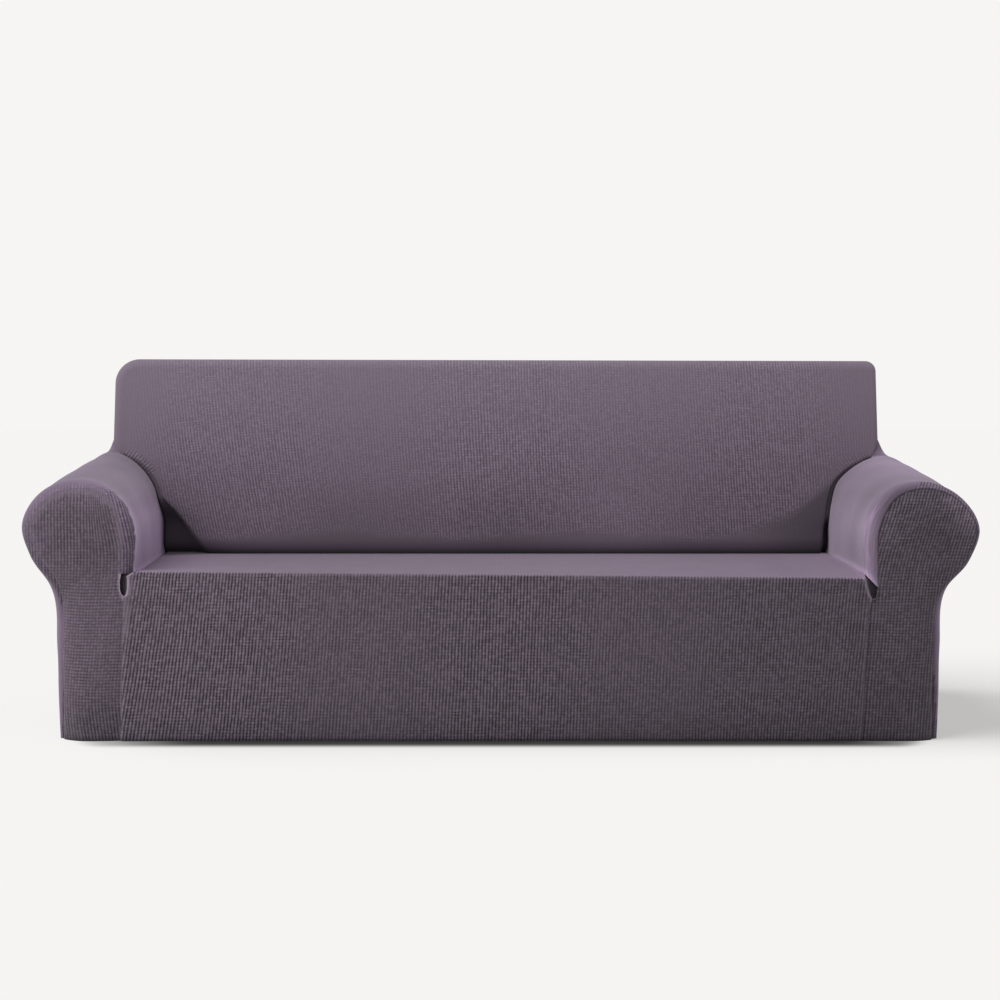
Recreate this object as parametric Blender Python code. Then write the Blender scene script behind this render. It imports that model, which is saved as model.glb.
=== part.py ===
"""Fitted stretch cover for a three-seat sofa with rolled arms, in the shape in which it is worn.

The cover is eight panels of knitted jacquard cloth, sewn edge to edge: the inside back with its
top and ends, the outside back, the seat, the front skirt, two arms and two arm fronts. It is
hollow and open at the hem. Each panel is a loft between its own seams. All panels are laid out
first as one skin, so that two neighbours share every point of the seam between them. They are
then cut apart along the seams and given the thickness of the cloth.

Metres. X runs across the sofa, the front faces -Y, and the hem stands on Z = 0.
"""

import bpy
import numpy as np

# Cloth and seams
CLOTH = 0.002
SEAM_CLEARANCE = 0.0003
LEAST_SLANT = 0.35
LEAST_COSINE = 0.4

# Depths, from front to back
FRONT = -0.440
ARM_FACE = -0.433
FACE_CROWN = 0.007
CROWN_RUN = 6
SEAM_DIP = 0.002
SEAT_BACK = 0.140
REAR = 0.440
BACK_LEAN = 0.22
BACK_CROWN = 0.012

# Heights
SEAT_TOP = 0.400
CREASE = 0.392
END_SEAM = 0.702
BACK_TOP = 0.917
REAR_DROP = 0.011

# Roundings
SKIRT_EDGE = 0.008
BACK_EDGE = 0.022
REAR_EDGE = 0.022
TUCK_HEIGHT = 0.048
TUCK_DEPTH = 0.045

# The hem corners are drawn back in plan, from CORNER_START outwards and below CORNER_TOP.
CORNER_START = 0.985
CORNER_WIDTH = 0.075
CORNER_DEPTH = 0.034
CORNER_TOP = 0.42
CORNER_FADE = 0.15

# Lines that run the length of each arm, from the seat crease over the roll to the hem. Columns:
# line, distance from the middle and height at the front, the same where the arm meets the back,
# and the radius of the arm's front edge on that line.
ARM_LINES = {
    "left": (
        ("crease", 0.877, CREASE, 0.905, CREASE, 0.026),
        ("inner wall", 0.877, 0.520, 0.908, 0.512, 0.026),
        ("inner shoulder", 0.900, 0.572, 0.923, 0.576, 0.019),
        ("upper shoulder", 0.944, 0.612, 0.958, 0.626, 0.018),
        ("crest", 1.015, 0.627, 1.015, 0.664, 0.024),
        ("flare", 1.058, 0.618, 1.052, 0.667, 0.024),
        ("outer shoulder", 1.096, 0.596, 1.083, 0.650, 0.024),
        ("outermost", 1.144, 0.513, 1.136, 0.548, 0.024),
        ("underside", 1.122, 0.440, 1.118, 0.455, 0.020),
        ("tuck under roll", 1.083, 0.376, 1.083, 0.384, 0.026),
        ("outer wall", 1.068, 0.215, 1.067, 0.215, 0.016),
        ("hem", 1.060, 0.000, 1.060, 0.000, 0.010),
    ),
    "right": (
        ("crease", 0.871, CREASE, 0.875, CREASE, 0.030),
        ("inner wall", 0.872, 0.522, 0.883, 0.535, 0.034),
        ("inner shoulder", 0.892, 0.573, 0.899, 0.586, 0.036),
        ("upper shoulder", 0.936, 0.609, 0.938, 0.625, 0.026),
        ("crest", 1.004, 0.622, 0.992, 0.653, 0.018),
        ("flare", 1.046, 0.614, 1.034, 0.658, 0.014),
        ("outer shoulder", 1.087, 0.592, 1.070, 0.643, 0.010),
        ("outermost", 1.144, 0.505, 1.130, 0.540, 0.007),
        ("underside", 1.118, 0.430, 1.113, 0.446, 0.007),
        ("tuck under roll", 1.071, 0.366, 1.071, 0.378, 0.014),
        ("outer wall", 1.059, 0.215, 1.059, 0.215, 0.018),
        ("hem", 1.053, 0.000, 1.053, 0.000, 0.014),
    ),
}

# The same lines from the crest outwards, where the arm passes the end of the back. Columns:
# line, distance from the middle and height beside the back's front, and the same at the rear.
END_LINES = {
    "left": (
        ("crest", 1.037, END_SEAM, 1.037, END_SEAM),
        ("flare", 1.052, 0.670, 1.045, 0.664),
        ("outer shoulder", 1.082, 0.645, 1.062, 0.620),
        ("outermost", 1.134, 0.548, 1.088, 0.540),
        ("underside", 1.117, 0.456, 1.087, 0.462),
        ("tuck under roll", 1.083, 0.384, 1.072, 0.386),
        ("outer wall", 1.067, 0.215, 1.062, 0.215),
        ("hem", 1.060, 0.000, 1.060, 0.000),
    ),
    "right": (
        ("crest", 1.014, END_SEAM, 1.014, END_SEAM),
        ("flare", 1.034, 0.664, 1.026, 0.660),
        ("outer shoulder", 1.067, 0.638, 1.046, 0.616),
        ("outermost", 1.128, 0.540, 1.078, 0.540),
        ("underside", 1.112, 0.447, 1.077, 0.460),
        ("tuck under roll", 1.071, 0.378, 1.064, 0.384),
        ("outer wall", 1.059, 0.215, 1.057, 0.215),
        ("hem", 1.053, 0.000, 1.053, 0.000),
    ),
}
LINE_STEPS = (2, 2, 2, 2, 2, 1, 3, 3, 2, 2, 2)
CREST = sum(LINE_STEPS[:4])
HEM = sum(LINE_STEPS)

# Ends of the back: distance from the middle, and radius and height of the upper corner.
BACK_ENDS = {"left": (1.037, 0.064, BACK_TOP), "right": (1.014, 0.027, 0.912)}

# The back stands off each arm in a dark pocket. Columns: its width and depth at the seat, the
# height where it closes, and the width of the dip that is left along the seam above it, which is
# half as deep and fades just below the crest. The pocket is POCKET_WALL of its width wide where
# its wall ends, and reaches its full depth in the first 1/POCKET_DEEPENS of its height.
POCKETS = {"left": (0.130, 0.060, 0.550, 0.016), "right": (0.020, 0.030, 0.500, 0.014)}
POCKET_WALL = 0.75
POCKET_FADE = 0.05
POCKET_DEEPENS = 2.2
WALL_SHARE = 0.85
LIP_SHARE = 0.10

# The seam between the skirt and each arm front, open at its top in a notch. Columns: distance
# from the middle at the hem, at the notch's foot and at the seat corner, that of the arm front's
# own edge halfway up the notch, and the height of the seat corner.
SKIRT_SEAMS = {
    "left": (0.906, 0.897, 0.874, 0.907, 0.407),
    "right": (0.864, 0.870, 0.872, 0.884, 0.391),
}
SKIRT_HEIGHTS = (0.0, 0.07, 0.14, 0.21, 0.27, 0.325, 0.355)
NOTCH_FOOT = 5

# Division of the panels
EDGE_STEPS = 2
ARM_LENGTH_STEPS = 8
END_DEPTH_STEPS = 3
END_SIDE_STEPS = 4
CORNER_STEPS = 4
COLUMNS = 18
FACE_TOP = 3
SLOPING_ROWS = 3
NEAR_ARM = (0.010, 0.035)

TEXTURED = (0.095, 0.072, 0.093, 1.0)
SMOOTH = (0.205, 0.160, 0.215, 1.0)

# ---------------------------------------------------------------- curves and surfaces


def through(points, steps):
    """A smooth curve through the points, with steps[i] equal parts between point i and the next.

    Each span is a cubic whose slope at a point follows the points on both sides of it.
    """
    points = np.asarray(points, float)
    chord = np.linalg.norm(np.diff(points, axis=0), axis=1)[:, None]
    slope = np.diff(points, axis=0) / chord
    middle = (slope[:-1] * chord[1:] + slope[1:] * chord[:-1]) / (chord[:-1] + chord[1:])
    slopes = np.vstack([slope[:1], middle, slope[-1:]])
    spans = []
    for i, count in enumerate(steps):
        t = (np.arange(count) / count)[:, None]
        straight = lerp(points[i], points[i + 1], ease(t))
        bend = t * (1 - t) ** 2 * slopes[i] - t * t * (1 - t) * slopes[i + 1]
        spans.append(straight + bend * chord[i])
    return np.vstack([*spans, points[-1:]])


def lerp(a, b, t):
    return a + (b - a) * t


def ease(t):
    t = np.clip(t, 0.0, 1.0)
    return t * t * (3 - 2 * t)


def patch(bottom, top, left, right):
    """A surface that fills four edges: lofts between the facing edges, less the corners' loft."""
    across = np.linspace(0, 1, len(bottom))[None, :, None]
    up = np.linspace(0, 1, len(left))[:, None, None]
    by_rows = lerp(left[:, None], right[:, None], across)
    by_columns = lerp(bottom[None], top[None], up)
    by_corners = lerp(lerp(bottom[0], bottom[-1], across), lerp(top[0], top[-1], across), up)
    return by_rows + by_columns - by_corners


def inward(outline):
    """Unit vectors at a right angle to an outline in X and Z, on the right of its run."""
    run = np.gradient(outline, axis=0)
    turned = np.stack([run[:, 1], -run[:, 0]], axis=1)
    return turned / np.linalg.norm(turned, axis=1)[:, None]


def points_at(outline, y):
    """The outline's X and Z, with Y given for each point or for all."""
    return np.stack([outline[:, 0], np.broadcast_to(y, len(outline)), outline[:, 1]], axis=1)


def mirrored(grid, side):
    """A grid that is laid out at positive X, moved to its own side of the sofa."""
    return grid * np.array([-1.0 if side == "left" else 1.0, 1.0, 1.0])


# ---------------------------------------------------------------- the back


def face_depth(x, z):
    """Y of the front of the back: it leans, swells a little and tucks in above the seat."""
    climb = (z - SEAT_TOP) / (BACK_TOP - SEAT_TOP)
    swell = np.clip(1 - x**4, 0, 1) * np.clip(4 * climb * (1 - climb), 0, 1)
    tuck = np.clip(1 - (z - CREASE) / TUCK_HEIGHT, 0, 1) ** 2
    return SEAT_BACK + BACK_LEAN * (z - SEAT_TOP) - BACK_CROWN * swell + TUCK_DEPTH * tuck


def pocket_opening(side, z):
    closed_at = POCKETS[side][2]
    return np.clip((closed_at - z) / (closed_at - SEAT_TOP), 0, 1)


def pocket_width(side, z):
    width, _, _, dip = POCKETS[side]
    return dip + (width - dip) * pocket_opening(side, z)


def pocket_depth(side, z):
    """How far behind the back's face the seam with the arm lies. It is nothing at the crest."""
    _, depth, _, dip = POCKETS[side]
    crest = ARM_LINES[side][4][4]
    below_crest = ease((crest - z) / POCKET_FADE)
    return depth * ease(POCKET_DEEPENS * pocket_opening(side, z)) + dip / 2 * below_crest


def back_outline(inset, seam_height):
    """End, top and end of the back in X and Z, drawn in by inset, from the left seam round.

    The two ends are straight and upright, and quarter circles join them to the top.
    """
    quarter = np.linspace(0, np.pi / 2, CORNER_STEPS + 1)
    left_x, left_radius, left_top = BACK_ENDS["left"]
    right_x, right_radius, right_top = BACK_ENDS["right"]
    left_arc = np.stack([-np.cos(quarter), np.sin(quarter)], axis=1) * (left_radius - inset)
    left_arc += (left_radius - left_x, left_top - left_radius)
    right_arc = np.stack([np.sin(quarter), np.cos(quarter)], axis=1) * (right_radius - inset)
    right_arc += (right_x - right_radius, right_top - right_radius)
    climb = np.linspace(0, 1, END_SIDE_STEPS + 1)[:-1, None]
    left_foot = np.array([inset - left_x, seam_height["left"]])
    right_foot = np.array([right_x - inset, seam_height["right"]])
    along = np.linspace(0, 1, COLUMNS - CORNER_STEPS + 1)[1:-1, None]
    return np.vstack(
        [
            lerp(left_foot, left_arc[0], climb),
            left_arc,
            lerp(left_arc[-1], right_arc[0], along),
            right_arc,
            lerp(right_foot, right_arc[-1], climb)[::-1],
        ]
    )


def back_band():
    """The ends and top of the back. Rows follow its outline; columns run to the rear seam.

    The first and last few columns round the front and rear edges by a quarter turn.
    """
    crest_heights = {side: ARM_LINES[side][4][4] for side in ARM_LINES}
    columns = []
    for turn in np.linspace(0, np.pi / 2, EDGE_STEPS + 1):
        heights = {s: lerp(crest_heights[s], END_SEAM, np.sin(turn)) for s in crest_heights}
        outline = back_outline(BACK_EDGE * (1 - np.sin(turn)), heights)
        y = face_depth(*outline.T) + BACK_EDGE * (1 - np.cos(turn))
        columns.append(points_at(outline, y))
    front, heights = columns[-1], {side: END_SEAM for side in ARM_LINES}
    for turn in np.linspace(0, np.pi / 2, EDGE_STEPS + 1):
        outline = back_outline(REAR_EDGE * (1 - np.cos(turn)), heights)
        outline[:, 1] -= REAR_DROP * ease((outline[:, 1] - END_SEAM) / (BACK_TOP - END_SEAM))
        columns.append(points_at(outline, REAR - REAR_EDGE * (1 - np.sin(turn))))
    rear = columns[EDGE_STEPS + 1]
    for step in range(END_DEPTH_STEPS - 1, 0, -1):
        columns.insert(EDGE_STEPS + 1, lerp(front, rear, step / END_DEPTH_STEPS))
    return np.stack(columns, axis=1)


def back_face(seams, band):
    """Front of the back, from the seat crease to the top. Columns run from arm to arm.

    The two columns next to each arm are the wall and the lip of its pocket.
    """
    corner_row = END_SIDE_STEPS + CORNER_STEPS // 2
    left = np.vstack([seams["left"], band[1 : corner_row + 1, 0]])
    right = np.vstack([seams["right"], band[::-1][1 : corner_row + 1, 0]])
    top = band[corner_row : len(band) - corner_row, 0]
    lips = {}
    for side, edge, sign, top_end in (("left", left, 1, top[2]), ("right", right, -1, top[-3])):
        lip = edge.copy()
        lip[: CREST + 1, 0] += sign * pocket_width(side, edge[: CREST + 1, 2])
        rise = np.linspace(0, 1, len(edge) - CREST)[:, None]
        lip[CREST:] = lerp(lip[CREST], top_end, rise)
        lips[side] = lip
    across = np.linspace(0, 1, COLUMNS - 3)[:, None]
    bottom = lerp(lips["left"][0], lips["right"][0], across)
    middle = patch(bottom, top[2:-2], lips["left"], lips["right"])
    left_wall = lerp(left, lips["left"], POCKET_WALL)
    right_wall = lerp(right, lips["right"], POCKET_WALL)
    left_wall[-1], right_wall[-1] = top[1], top[-2]
    grid = np.stack([left, left_wall, *middle.transpose(1, 0, 2), right_wall, right], axis=1)
    inner = grid[:, 1:-1]
    inner[..., 1] = face_depth(inner[..., 0], inner[..., 2])
    for side, wall, lip in (("left", 1, 2), ("right", -2, -3)):
        grid[:-1, wall, 1] += WALL_SHARE * pocket_depth(side, grid[:-1, wall, 2])
        grid[:-1, lip, 1] += LIP_SHARE * pocket_depth(side, grid[:-1, lip, 2])
    grid[-1] = top
    return grid


def outside_back(arms, band):
    """The flat rear panel, inside the rounded rear edges of the arms and of the back."""
    corner_row = END_SIDE_STEPS + CORNER_STEPS // 2
    left = np.vstack([arms["left"][1][::-1, -1], band[1 : corner_row + 1, -1]])
    right = np.vstack([arms["right"][1][::-1, -1], band[::-1][1 : corner_row + 1, -1]])
    top = band[corner_row : len(band) - corner_row, -1]
    hem = lerp(left[0], right[0], np.linspace(0, 1, COLUMNS + 1)[:, None])
    return patch(hem, top, left, right)


# ---------------------------------------------------------------- the arms


def section(rows, x_column, z_column, steps):
    return through([(row[x_column], row[z_column]) for row in rows], steps)


def corner_setback(x, z):
    """How far the front is drawn back towards an outer hem corner."""
    out = np.clip((x - CORNER_START) / CORNER_WIDTH, 0, 1.2)
    return CORNER_DEPTH * out**2 * ease((CORNER_TOP - z) / CORNER_FADE)


def arm(side, band):
    """The arm panel at positive X, as two grids that share a column.

    The first runs from the front edge to the back, over every line. The second goes on past the
    end of the back to the rear edge, from the crest outwards.
    """
    lines = ARM_LINES[side]
    front = section(lines, 1, 2, LINE_STEPS)
    back = section(lines, 3, 4, LINE_STEPS)
    edge = np.interp(np.arange(HEM + 1), np.cumsum((0, *LINE_STEPS)), [row[5] for row in lines])
    face = ARM_FACE + corner_setback(front[:, 0], front[:, 1])
    seam_row = np.abs(band[0] if side == "left" else band[-1])
    seam_row[:, 1] = (band[0] if side == "left" else band[-1])[:, 1]

    columns = []
    for turn in np.linspace(0, np.pi / 2, EDGE_STEPS + 1):
        inset = (edge * (1 - np.sin(turn)))[:, None] * inward(front)
        columns.append(points_at(front + inset, face + edge * (1 - np.cos(turn))))
    back_y = np.full(HEM + 1, seam_row[0, 1])
    inner = back[: CREST + 1]
    back_y[: CREST + 1] = face_depth(*inner.T) + pocket_depth(side, inner[:, 1])
    front_edge, back_edge = columns[-1], points_at(back, back_y)
    for step in range(1, ARM_LENGTH_STEPS + 1):
        columns.append(lerp(front_edge, back_edge, step / ARM_LENGTH_STEPS))
    along = np.stack(columns, axis=1)
    along[CREST, -1] = seam_row[0]

    beside = section(END_LINES[side], 1, 2, LINE_STEPS[4:])
    rear = section(END_LINES[side], 3, 4, LINE_STEPS[4:])
    outer = back[CREST:]
    sections = [lerp(outer, beside, step / EDGE_STEPS) for step in range(EDGE_STEPS + 1)]
    for step in range(1, END_DEPTH_STEPS + 1):
        sections.append(lerp(beside, rear, ease(step / END_DEPTH_STEPS)))
    for turn in np.linspace(0, np.pi / 2, EDGE_STEPS + 1)[1:]:
        sections.append(rear + REAR_EDGE * (1 - np.cos(turn)) * inward(rear))
    past = np.stack([points_at(s, y) for s, y in zip(sections, seam_row[:, 1])], axis=1)
    past[0] = seam_row
    past[:, 0] = along[CREST:, -1]
    past[-1, :, 2] = 0.0
    along[-1, :, 2] = 0.0
    return along, past


def skirt_side(side):
    """The skirt's side edge and the arm front's edge beside it, from the hem up, at positive X."""
    at_hem, at_foot, at_seat, front_x, seat_height = SKIRT_SEAMS[side]
    heights = np.array(SKIRT_HEIGHTS)
    climb = heights / heights[NOTCH_FOOT]
    x = lerp(at_hem, at_foot, np.minimum(climb, 1.0))
    skirt_x, arm_x = x.copy(), x.copy()
    skirt_x[NOTCH_FOOT + 1 :] = lerp(at_foot, at_seat, 0.5)
    arm_x[NOTCH_FOOT + 1 :] = front_x
    skirt = points_at(np.stack([skirt_x, heights], axis=1), FRONT + SEAM_DIP)
    arm_front = points_at(np.stack([arm_x, heights], axis=1), FRONT + SEAM_DIP)
    bevel = SKIRT_EDGE * (1 - np.sqrt(0.5))
    corner = (at_seat, FRONT + bevel, seat_height - bevel)
    return np.vstack([skirt, corner]), arm_front


def arm_front(side, along):
    """The front of an arm at positive X: the face of the roll and the upright under it."""
    seam = along[:, 0]
    outer = seam[CREST + FACE_TOP :][::-1]
    over = seam[CREST - FACE_TOP : CREST + FACE_TOP + 1][::-1]
    inner = np.vstack([skirt_side(side)[1], seam[: CREST - FACE_TOP + 1]])
    hem = lerp(outer[0], inner[0], np.linspace(0, 1, len(over))[:, None])
    grid = patch(hem, over, outer, inner)
    body = grid[:-1, 1:-1]
    across = np.linspace(0, 1, len(over))[None, 1:-1]
    up = np.linspace(0, 1, len(outer))[:-1, None]
    crown = FACE_CROWN * 4 * across * (1 - across) * ease(CROWN_RUN * (1 - up))
    body[..., 1] = ARM_FACE + corner_setback(body[..., 0], body[..., 2]) - crown
    return grid


# ---------------------------------------------------------------- seat and skirt


def spread(start, end):
    """Points from start to end: two close to each end, the others evenly between them."""
    run = (end - start) / np.linalg.norm(end - start)
    first, last = start + run * NEAR_ARM[1], end - run * NEAR_ARM[1]
    even = lerp(first, last, np.linspace(0, 1, COLUMNS - 3)[:, None])
    return np.vstack([start, start + run * NEAR_ARM[0], even, end - run * NEAR_ARM[0], end])


def seat(front_edge, arms, crease):
    """The flat seat. Its sides and its back dip into the creases along the arms and the back.

    Its first rows slope, as the front edge does, and the slope fades over SLOPING_ROWS.
    """
    left = np.vstack([front_edge[:1], arms["left"][0][0, EDGE_STEPS:]])
    right = np.vstack([front_edge[-1:], arms["right"][0][0, EDGE_STEPS:]])
    grid = patch(front_edge, crease, left, right)
    slope = front_edge[1:-1, 2] - SEAT_TOP
    fade = ease(1 - np.arange(1, len(grid) - 1) / SLOPING_ROWS)
    grid[1:-1, 1:-1, 2] = SEAT_TOP + fade[:, None] * slope
    return grid


def skirt(front_edge, sides):
    """The front skirt, from the edge of the seat down to the hem."""
    hem = spread(sides["left"][0], sides["right"][0])
    grid = patch(hem, front_edge, sides["left"], sides["right"])
    grid[:-1, 1:-1, 1] = FRONT
    return grid


# ---------------------------------------------------------------- sewing and cutting


def triangles(rows, columns, flip):
    """Two triangles for each cell of a grid of points that is numbered row by row."""
    corner = (np.arange(rows - 1)[:, None] * columns + np.arange(columns - 1)[None]).ravel()
    a, b, c, d = corner, corner + 1, corner + columns + 1, corner + columns
    faces = np.concatenate([np.stack([a, b, c], axis=1), np.stack([a, c, d], axis=1)])
    return faces[:, ::-1] if flip else faces


def sew(panels):
    """All panels as one skin: the shared points, and each panel's triangles among them."""
    points, faces, start = [], {}, 0
    for name, grids in panels.items():
        parts = []
        for grid, flip in grids:
            rows, columns, _ = grid.shape
            parts.append(triangles(rows, columns, flip) + start)
            points.append(grid.reshape(-1, 3))
            start += rows * columns
        faces[name] = np.concatenate(parts)
    points = np.concatenate(points)
    _, first, shared = np.unique(
        np.round(points * 1e6).astype(np.int64), axis=0, return_index=True, return_inverse=True
    )
    shared = shared.reshape(-1)
    return points[first], {name: shared[found] for name, found in faces.items()}


def inner_points(points, faces):
    """Each point moved in by the cloth's thickness, so that the cloth is even across a bend."""
    corners = points[faces]
    normals = np.cross(corners[:, 1] - corners[:, 0], corners[:, 2] - corners[:, 0])
    unit = normals / np.linalg.norm(normals, axis=1)[:, None]
    summed = np.zeros_like(points)
    for corner in range(3):
        np.add.at(summed, faces[:, corner], normals)
    summed[points[:, 2] < 1e-6, 2] = 0.0
    summed /= np.linalg.norm(summed, axis=1)[:, None]
    cosines, count = np.zeros(len(points)), np.zeros(len(points))
    for corner in range(3):
        at = faces[:, corner]
        np.add.at(cosines, at, (summed[at] * unit).sum(axis=1))
        np.add.at(count, at, 1)
    return points - CLOTH * summed / np.maximum(cosines / count, LEAST_COSINE)[:, None]


def edges_of(faces):
    return np.concatenate([faces[:, [0, 1]], faces[:, [1, 2]], faces[:, [2, 0]]])


def seam_pull(points, inside, faces, seam_edges):
    """How each point on a panel's seams moves into the panel, for half of the clearance.

    The clearance is measured across the rim, so the move is longer where the rim is slanted.
    """
    owner = np.tile(np.arange(len(faces)), 3)
    normals = np.cross(
        points[faces[:, 1]] - points[faces[:, 0]], points[faces[:, 2]] - points[faces[:, 0]]
    )
    edges = edges_of(faces)
    keys = {tuple(edge) for edge in seam_edges}
    pulls = {}
    for (start, end), face in zip(edges, owner):
        if (start, end) not in keys:
            continue
        into = np.cross(normals[face], points[end] - points[start])
        into /= np.linalg.norm(into)
        for point in (start, end):
            pulls.setdefault(point, []).append(into)
    moves = np.zeros_like(points)
    for point, directions in pulls.items():
        first, last = directions[0], directions[-1]
        pull = (first + last) / (1 + max(first @ last, -LEAST_SLANT))
        rim = inside[point] - points[point]
        across = np.linalg.norm(np.cross(pull, rim)) / np.linalg.norm(pull) / np.linalg.norm(rim)
        moves[point] = pull * SEAM_CLEARANCE / 2 / max(across, LEAST_SLANT)
    return moves


def cut_apart(points, panels):
    """Each panel as a closed sheet: outer face, inner face and the rim that joins them."""
    inside = inner_points(points, np.concatenate(list(panels.values())))
    all_edges = {tuple(edge) for edge in edges_of(np.concatenate(list(panels.values())))}
    sheets = {}
    for name, faces in panels.items():
        edges = edges_of(faces)
        own = {tuple(edge) for edge in edges}
        rim = [edge for edge in edges if (edge[1], edge[0]) not in own]
        seams = [edge for edge in rim if (edge[1], edge[0]) in all_edges]
        moves = seam_pull(points, inside, faces, seams)
        used, index = np.unique(faces, return_inverse=True)
        index = index.reshape(faces.shape)
        local = {point: i for i, point in enumerate(used)}
        count = len(used)
        sides = []
        for start, end in rim:
            a, b = local[start], local[end]
            if start < end:
                sides += [(b, a, b + count), (a, a + count, b + count)]
            else:
                sides += [(b, a, a + count), (b, a + count, b + count)]
        vertices = np.vstack([(points + moves)[used], (inside + moves)[used]])
        closed = np.vstack([index, index[:, ::-1] + count, sides])
        sheets[name] = (vertices, closed)
    return sheets


def cloth_material(name, colour):
    material = bpy.data.materials.new(name)
    material.use_nodes = True
    shader = material.node_tree.nodes["Principled BSDF"]
    shader.inputs["Base Color"].default_value = colour
    shader.inputs["Roughness"].default_value = 0.9
    shader.inputs["Metallic"].default_value = 0.0
    material.diffuse_color = colour
    return material


def build():
    for old in list(bpy.data.objects):
        bpy.data.objects.remove(old)
    cover = bpy.data.collections.new("sofa_slipcover")
    bpy.context.scene.collection.children.link(cover)

    band = back_band()
    plain = {side: arm(side, band) for side in ARM_LINES}
    arms = {side: [mirrored(grid, side) for grid in plain[side]] for side in plain}
    seams = {side: arms[side][0][: CREST + 1, -1] for side in arms}
    face = back_face(seams, band)
    sides = {side: mirrored(skirt_side(side)[0], side) for side in ARM_LINES}
    front_edge = spread(sides["left"][-1], sides["right"][-1])
    fronts = {side: mirrored(arm_front(side, plain[side][0]), side) for side in plain}
    panels = {
        "inside_back": [(face, False), (band, True)],
        "outside_back": [(outside_back(arms, band), True)],
        "seat": [(seat(front_edge, arms, face[0]), False)],
        "front_skirt": [(skirt(front_edge, sides), False)],
        "arm_left": [(grid, False) for grid in arms["left"]],
        "arm_right": [(grid, True) for grid in arms["right"]],
        "arm_front_left": [(fronts["left"], False)],
        "arm_front_right": [(fronts["right"], True)],
    }
    textured = {"inside_back", "front_skirt", "arm_front_left", "arm_front_right"}
    for name, (vertices, faces) in cut_apart(*sew(panels)).items():
        mesh = bpy.data.meshes.new(name)
        mesh.from_pydata(vertices.tolist(), [], faces.tolist())
        mesh.shade_smooth()
        mesh.set_sharp_from_angle(angle=np.radians(40))
        mesh.materials.append(cloth_material(name, TEXTURED if name in textured else SMOOTH))
        cover.objects.link(bpy.data.objects.new(name, mesh))


build()
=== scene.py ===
"""Fitted stretch cover for a three-seat sofa with rolled arms, in the shape in which it is worn.

Eight panels of knitted jacquard are sewn edge to edge: the inside back with its top and ends, the
outside back, the seat, the front skirt, two arms and two arm fronts. X runs across the sofa, the
front faces -Y, and the hem stands on Z = 0. Metres.
"""

import bpy
import numpy as np
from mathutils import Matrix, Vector

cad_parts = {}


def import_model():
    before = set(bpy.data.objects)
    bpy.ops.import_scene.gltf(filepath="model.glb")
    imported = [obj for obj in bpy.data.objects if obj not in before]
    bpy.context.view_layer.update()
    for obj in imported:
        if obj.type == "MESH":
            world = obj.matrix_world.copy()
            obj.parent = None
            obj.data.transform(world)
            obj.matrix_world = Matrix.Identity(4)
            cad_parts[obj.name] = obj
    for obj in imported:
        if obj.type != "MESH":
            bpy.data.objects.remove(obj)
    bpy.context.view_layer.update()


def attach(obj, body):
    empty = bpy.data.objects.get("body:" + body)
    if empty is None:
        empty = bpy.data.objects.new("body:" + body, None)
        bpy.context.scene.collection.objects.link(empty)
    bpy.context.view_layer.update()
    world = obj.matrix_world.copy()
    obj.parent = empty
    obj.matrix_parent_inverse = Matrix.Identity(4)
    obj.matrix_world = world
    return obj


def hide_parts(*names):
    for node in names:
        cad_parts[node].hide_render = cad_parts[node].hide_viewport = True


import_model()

# ---------------------------------------------------------------- the view
# The cover is seen straight from the front, from half a metre above the seat, through a long lens.

# Place of the eye, and how many degrees it looks down. Then the lens, in millimetres.
EYE = (0.0, -5.44, 0.869)
LOOK_DOWN = 3.336
LENS = 75.96
SENSOR = 36.0

camera = bpy.data.objects.new("camera", bpy.data.cameras.new("camera"))
camera.data.sensor_width = SENSOR
camera.data.lens = LENS
camera.location = EYE
camera.rotation_euler = (np.radians(90 - LOOK_DOWN), 0.0, 0.0)
bpy.context.scene.collection.objects.link(camera)
bpy.context.scene.camera = camera
bpy.context.scene.view_settings.view_transform = "Standard"

# ---------------------------------------------------------------- light and floor
# A plain pale studio. One wide soft lamp hangs high up, a large one stands in front on the left and
# fades to the right, and the walls send back an even light. The floor runs into the backdrop. It
# has a lamp of its own from the left, whose shadow falls to the right of the cover.

# The lamps' numbers are read by sun and front_lamp. The floor glows a little by itself.
BACKDROP = (0.922, 0.913, 0.896, 1.0)
WALL_LIGHT = (0.60, 0.60, 0.61, 1.0)
HIGH_LAMP = (1.90, 45.0, 12.0, -20.0)
FLOOR_LAMP = (16.0, 60.0, 4.0, -42.0)
FRONT_LAMP = (46.0, 2.4, (-2.3, -2.8, 1.65), (0.0, 0.0, 0.45))
FLOOR_SIZE = 60.0
FLOOR_COLOUR = (0.100, 0.099, 0.097)
FLOOR_GLOW = (0.478, 0.474, 0.465)

# Painted contact shadow under the hem: half the width and depth that it lies round, its width, how
# sharply it ends, and its strength. It fades by X: from the middle, from what distance, and how soon.
FOOTPRINT = (0.93, 0.440)
CONTACT_WIDTH = 0.074
CONTACT_POWER = 5.0
CONTACT_PAINTED_SHADE = 0.94
CONTACT_FADE = (0.05, 0.75, 0.28)


def studio():
    """Walls that light the cover evenly, and that the camera sees as the backdrop."""
    world = bpy.data.worlds.new("studio")
    world.use_nodes = True
    tree = world.node_tree
    walls = tree.nodes["Background"]
    walls.inputs["Color"].default_value = WALL_LIGHT
    seen = tree.nodes.new("ShaderNodeBackground")
    seen.inputs["Color"].default_value = BACKDROP
    ray = tree.nodes.new("ShaderNodeLightPath")
    mix = tree.nodes.new("ShaderNodeMixShader")
    tree.links.new(ray.outputs["Is Camera Ray"], mix.inputs["Fac"])
    tree.links.new(walls.outputs["Background"], mix.inputs[1])
    tree.links.new(seen.outputs["Background"], mix.inputs[2])
    tree.links.new(mix.outputs["Shader"], tree.nodes["World Output"].inputs["Surface"])
    bpy.context.scene.world = world


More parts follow.
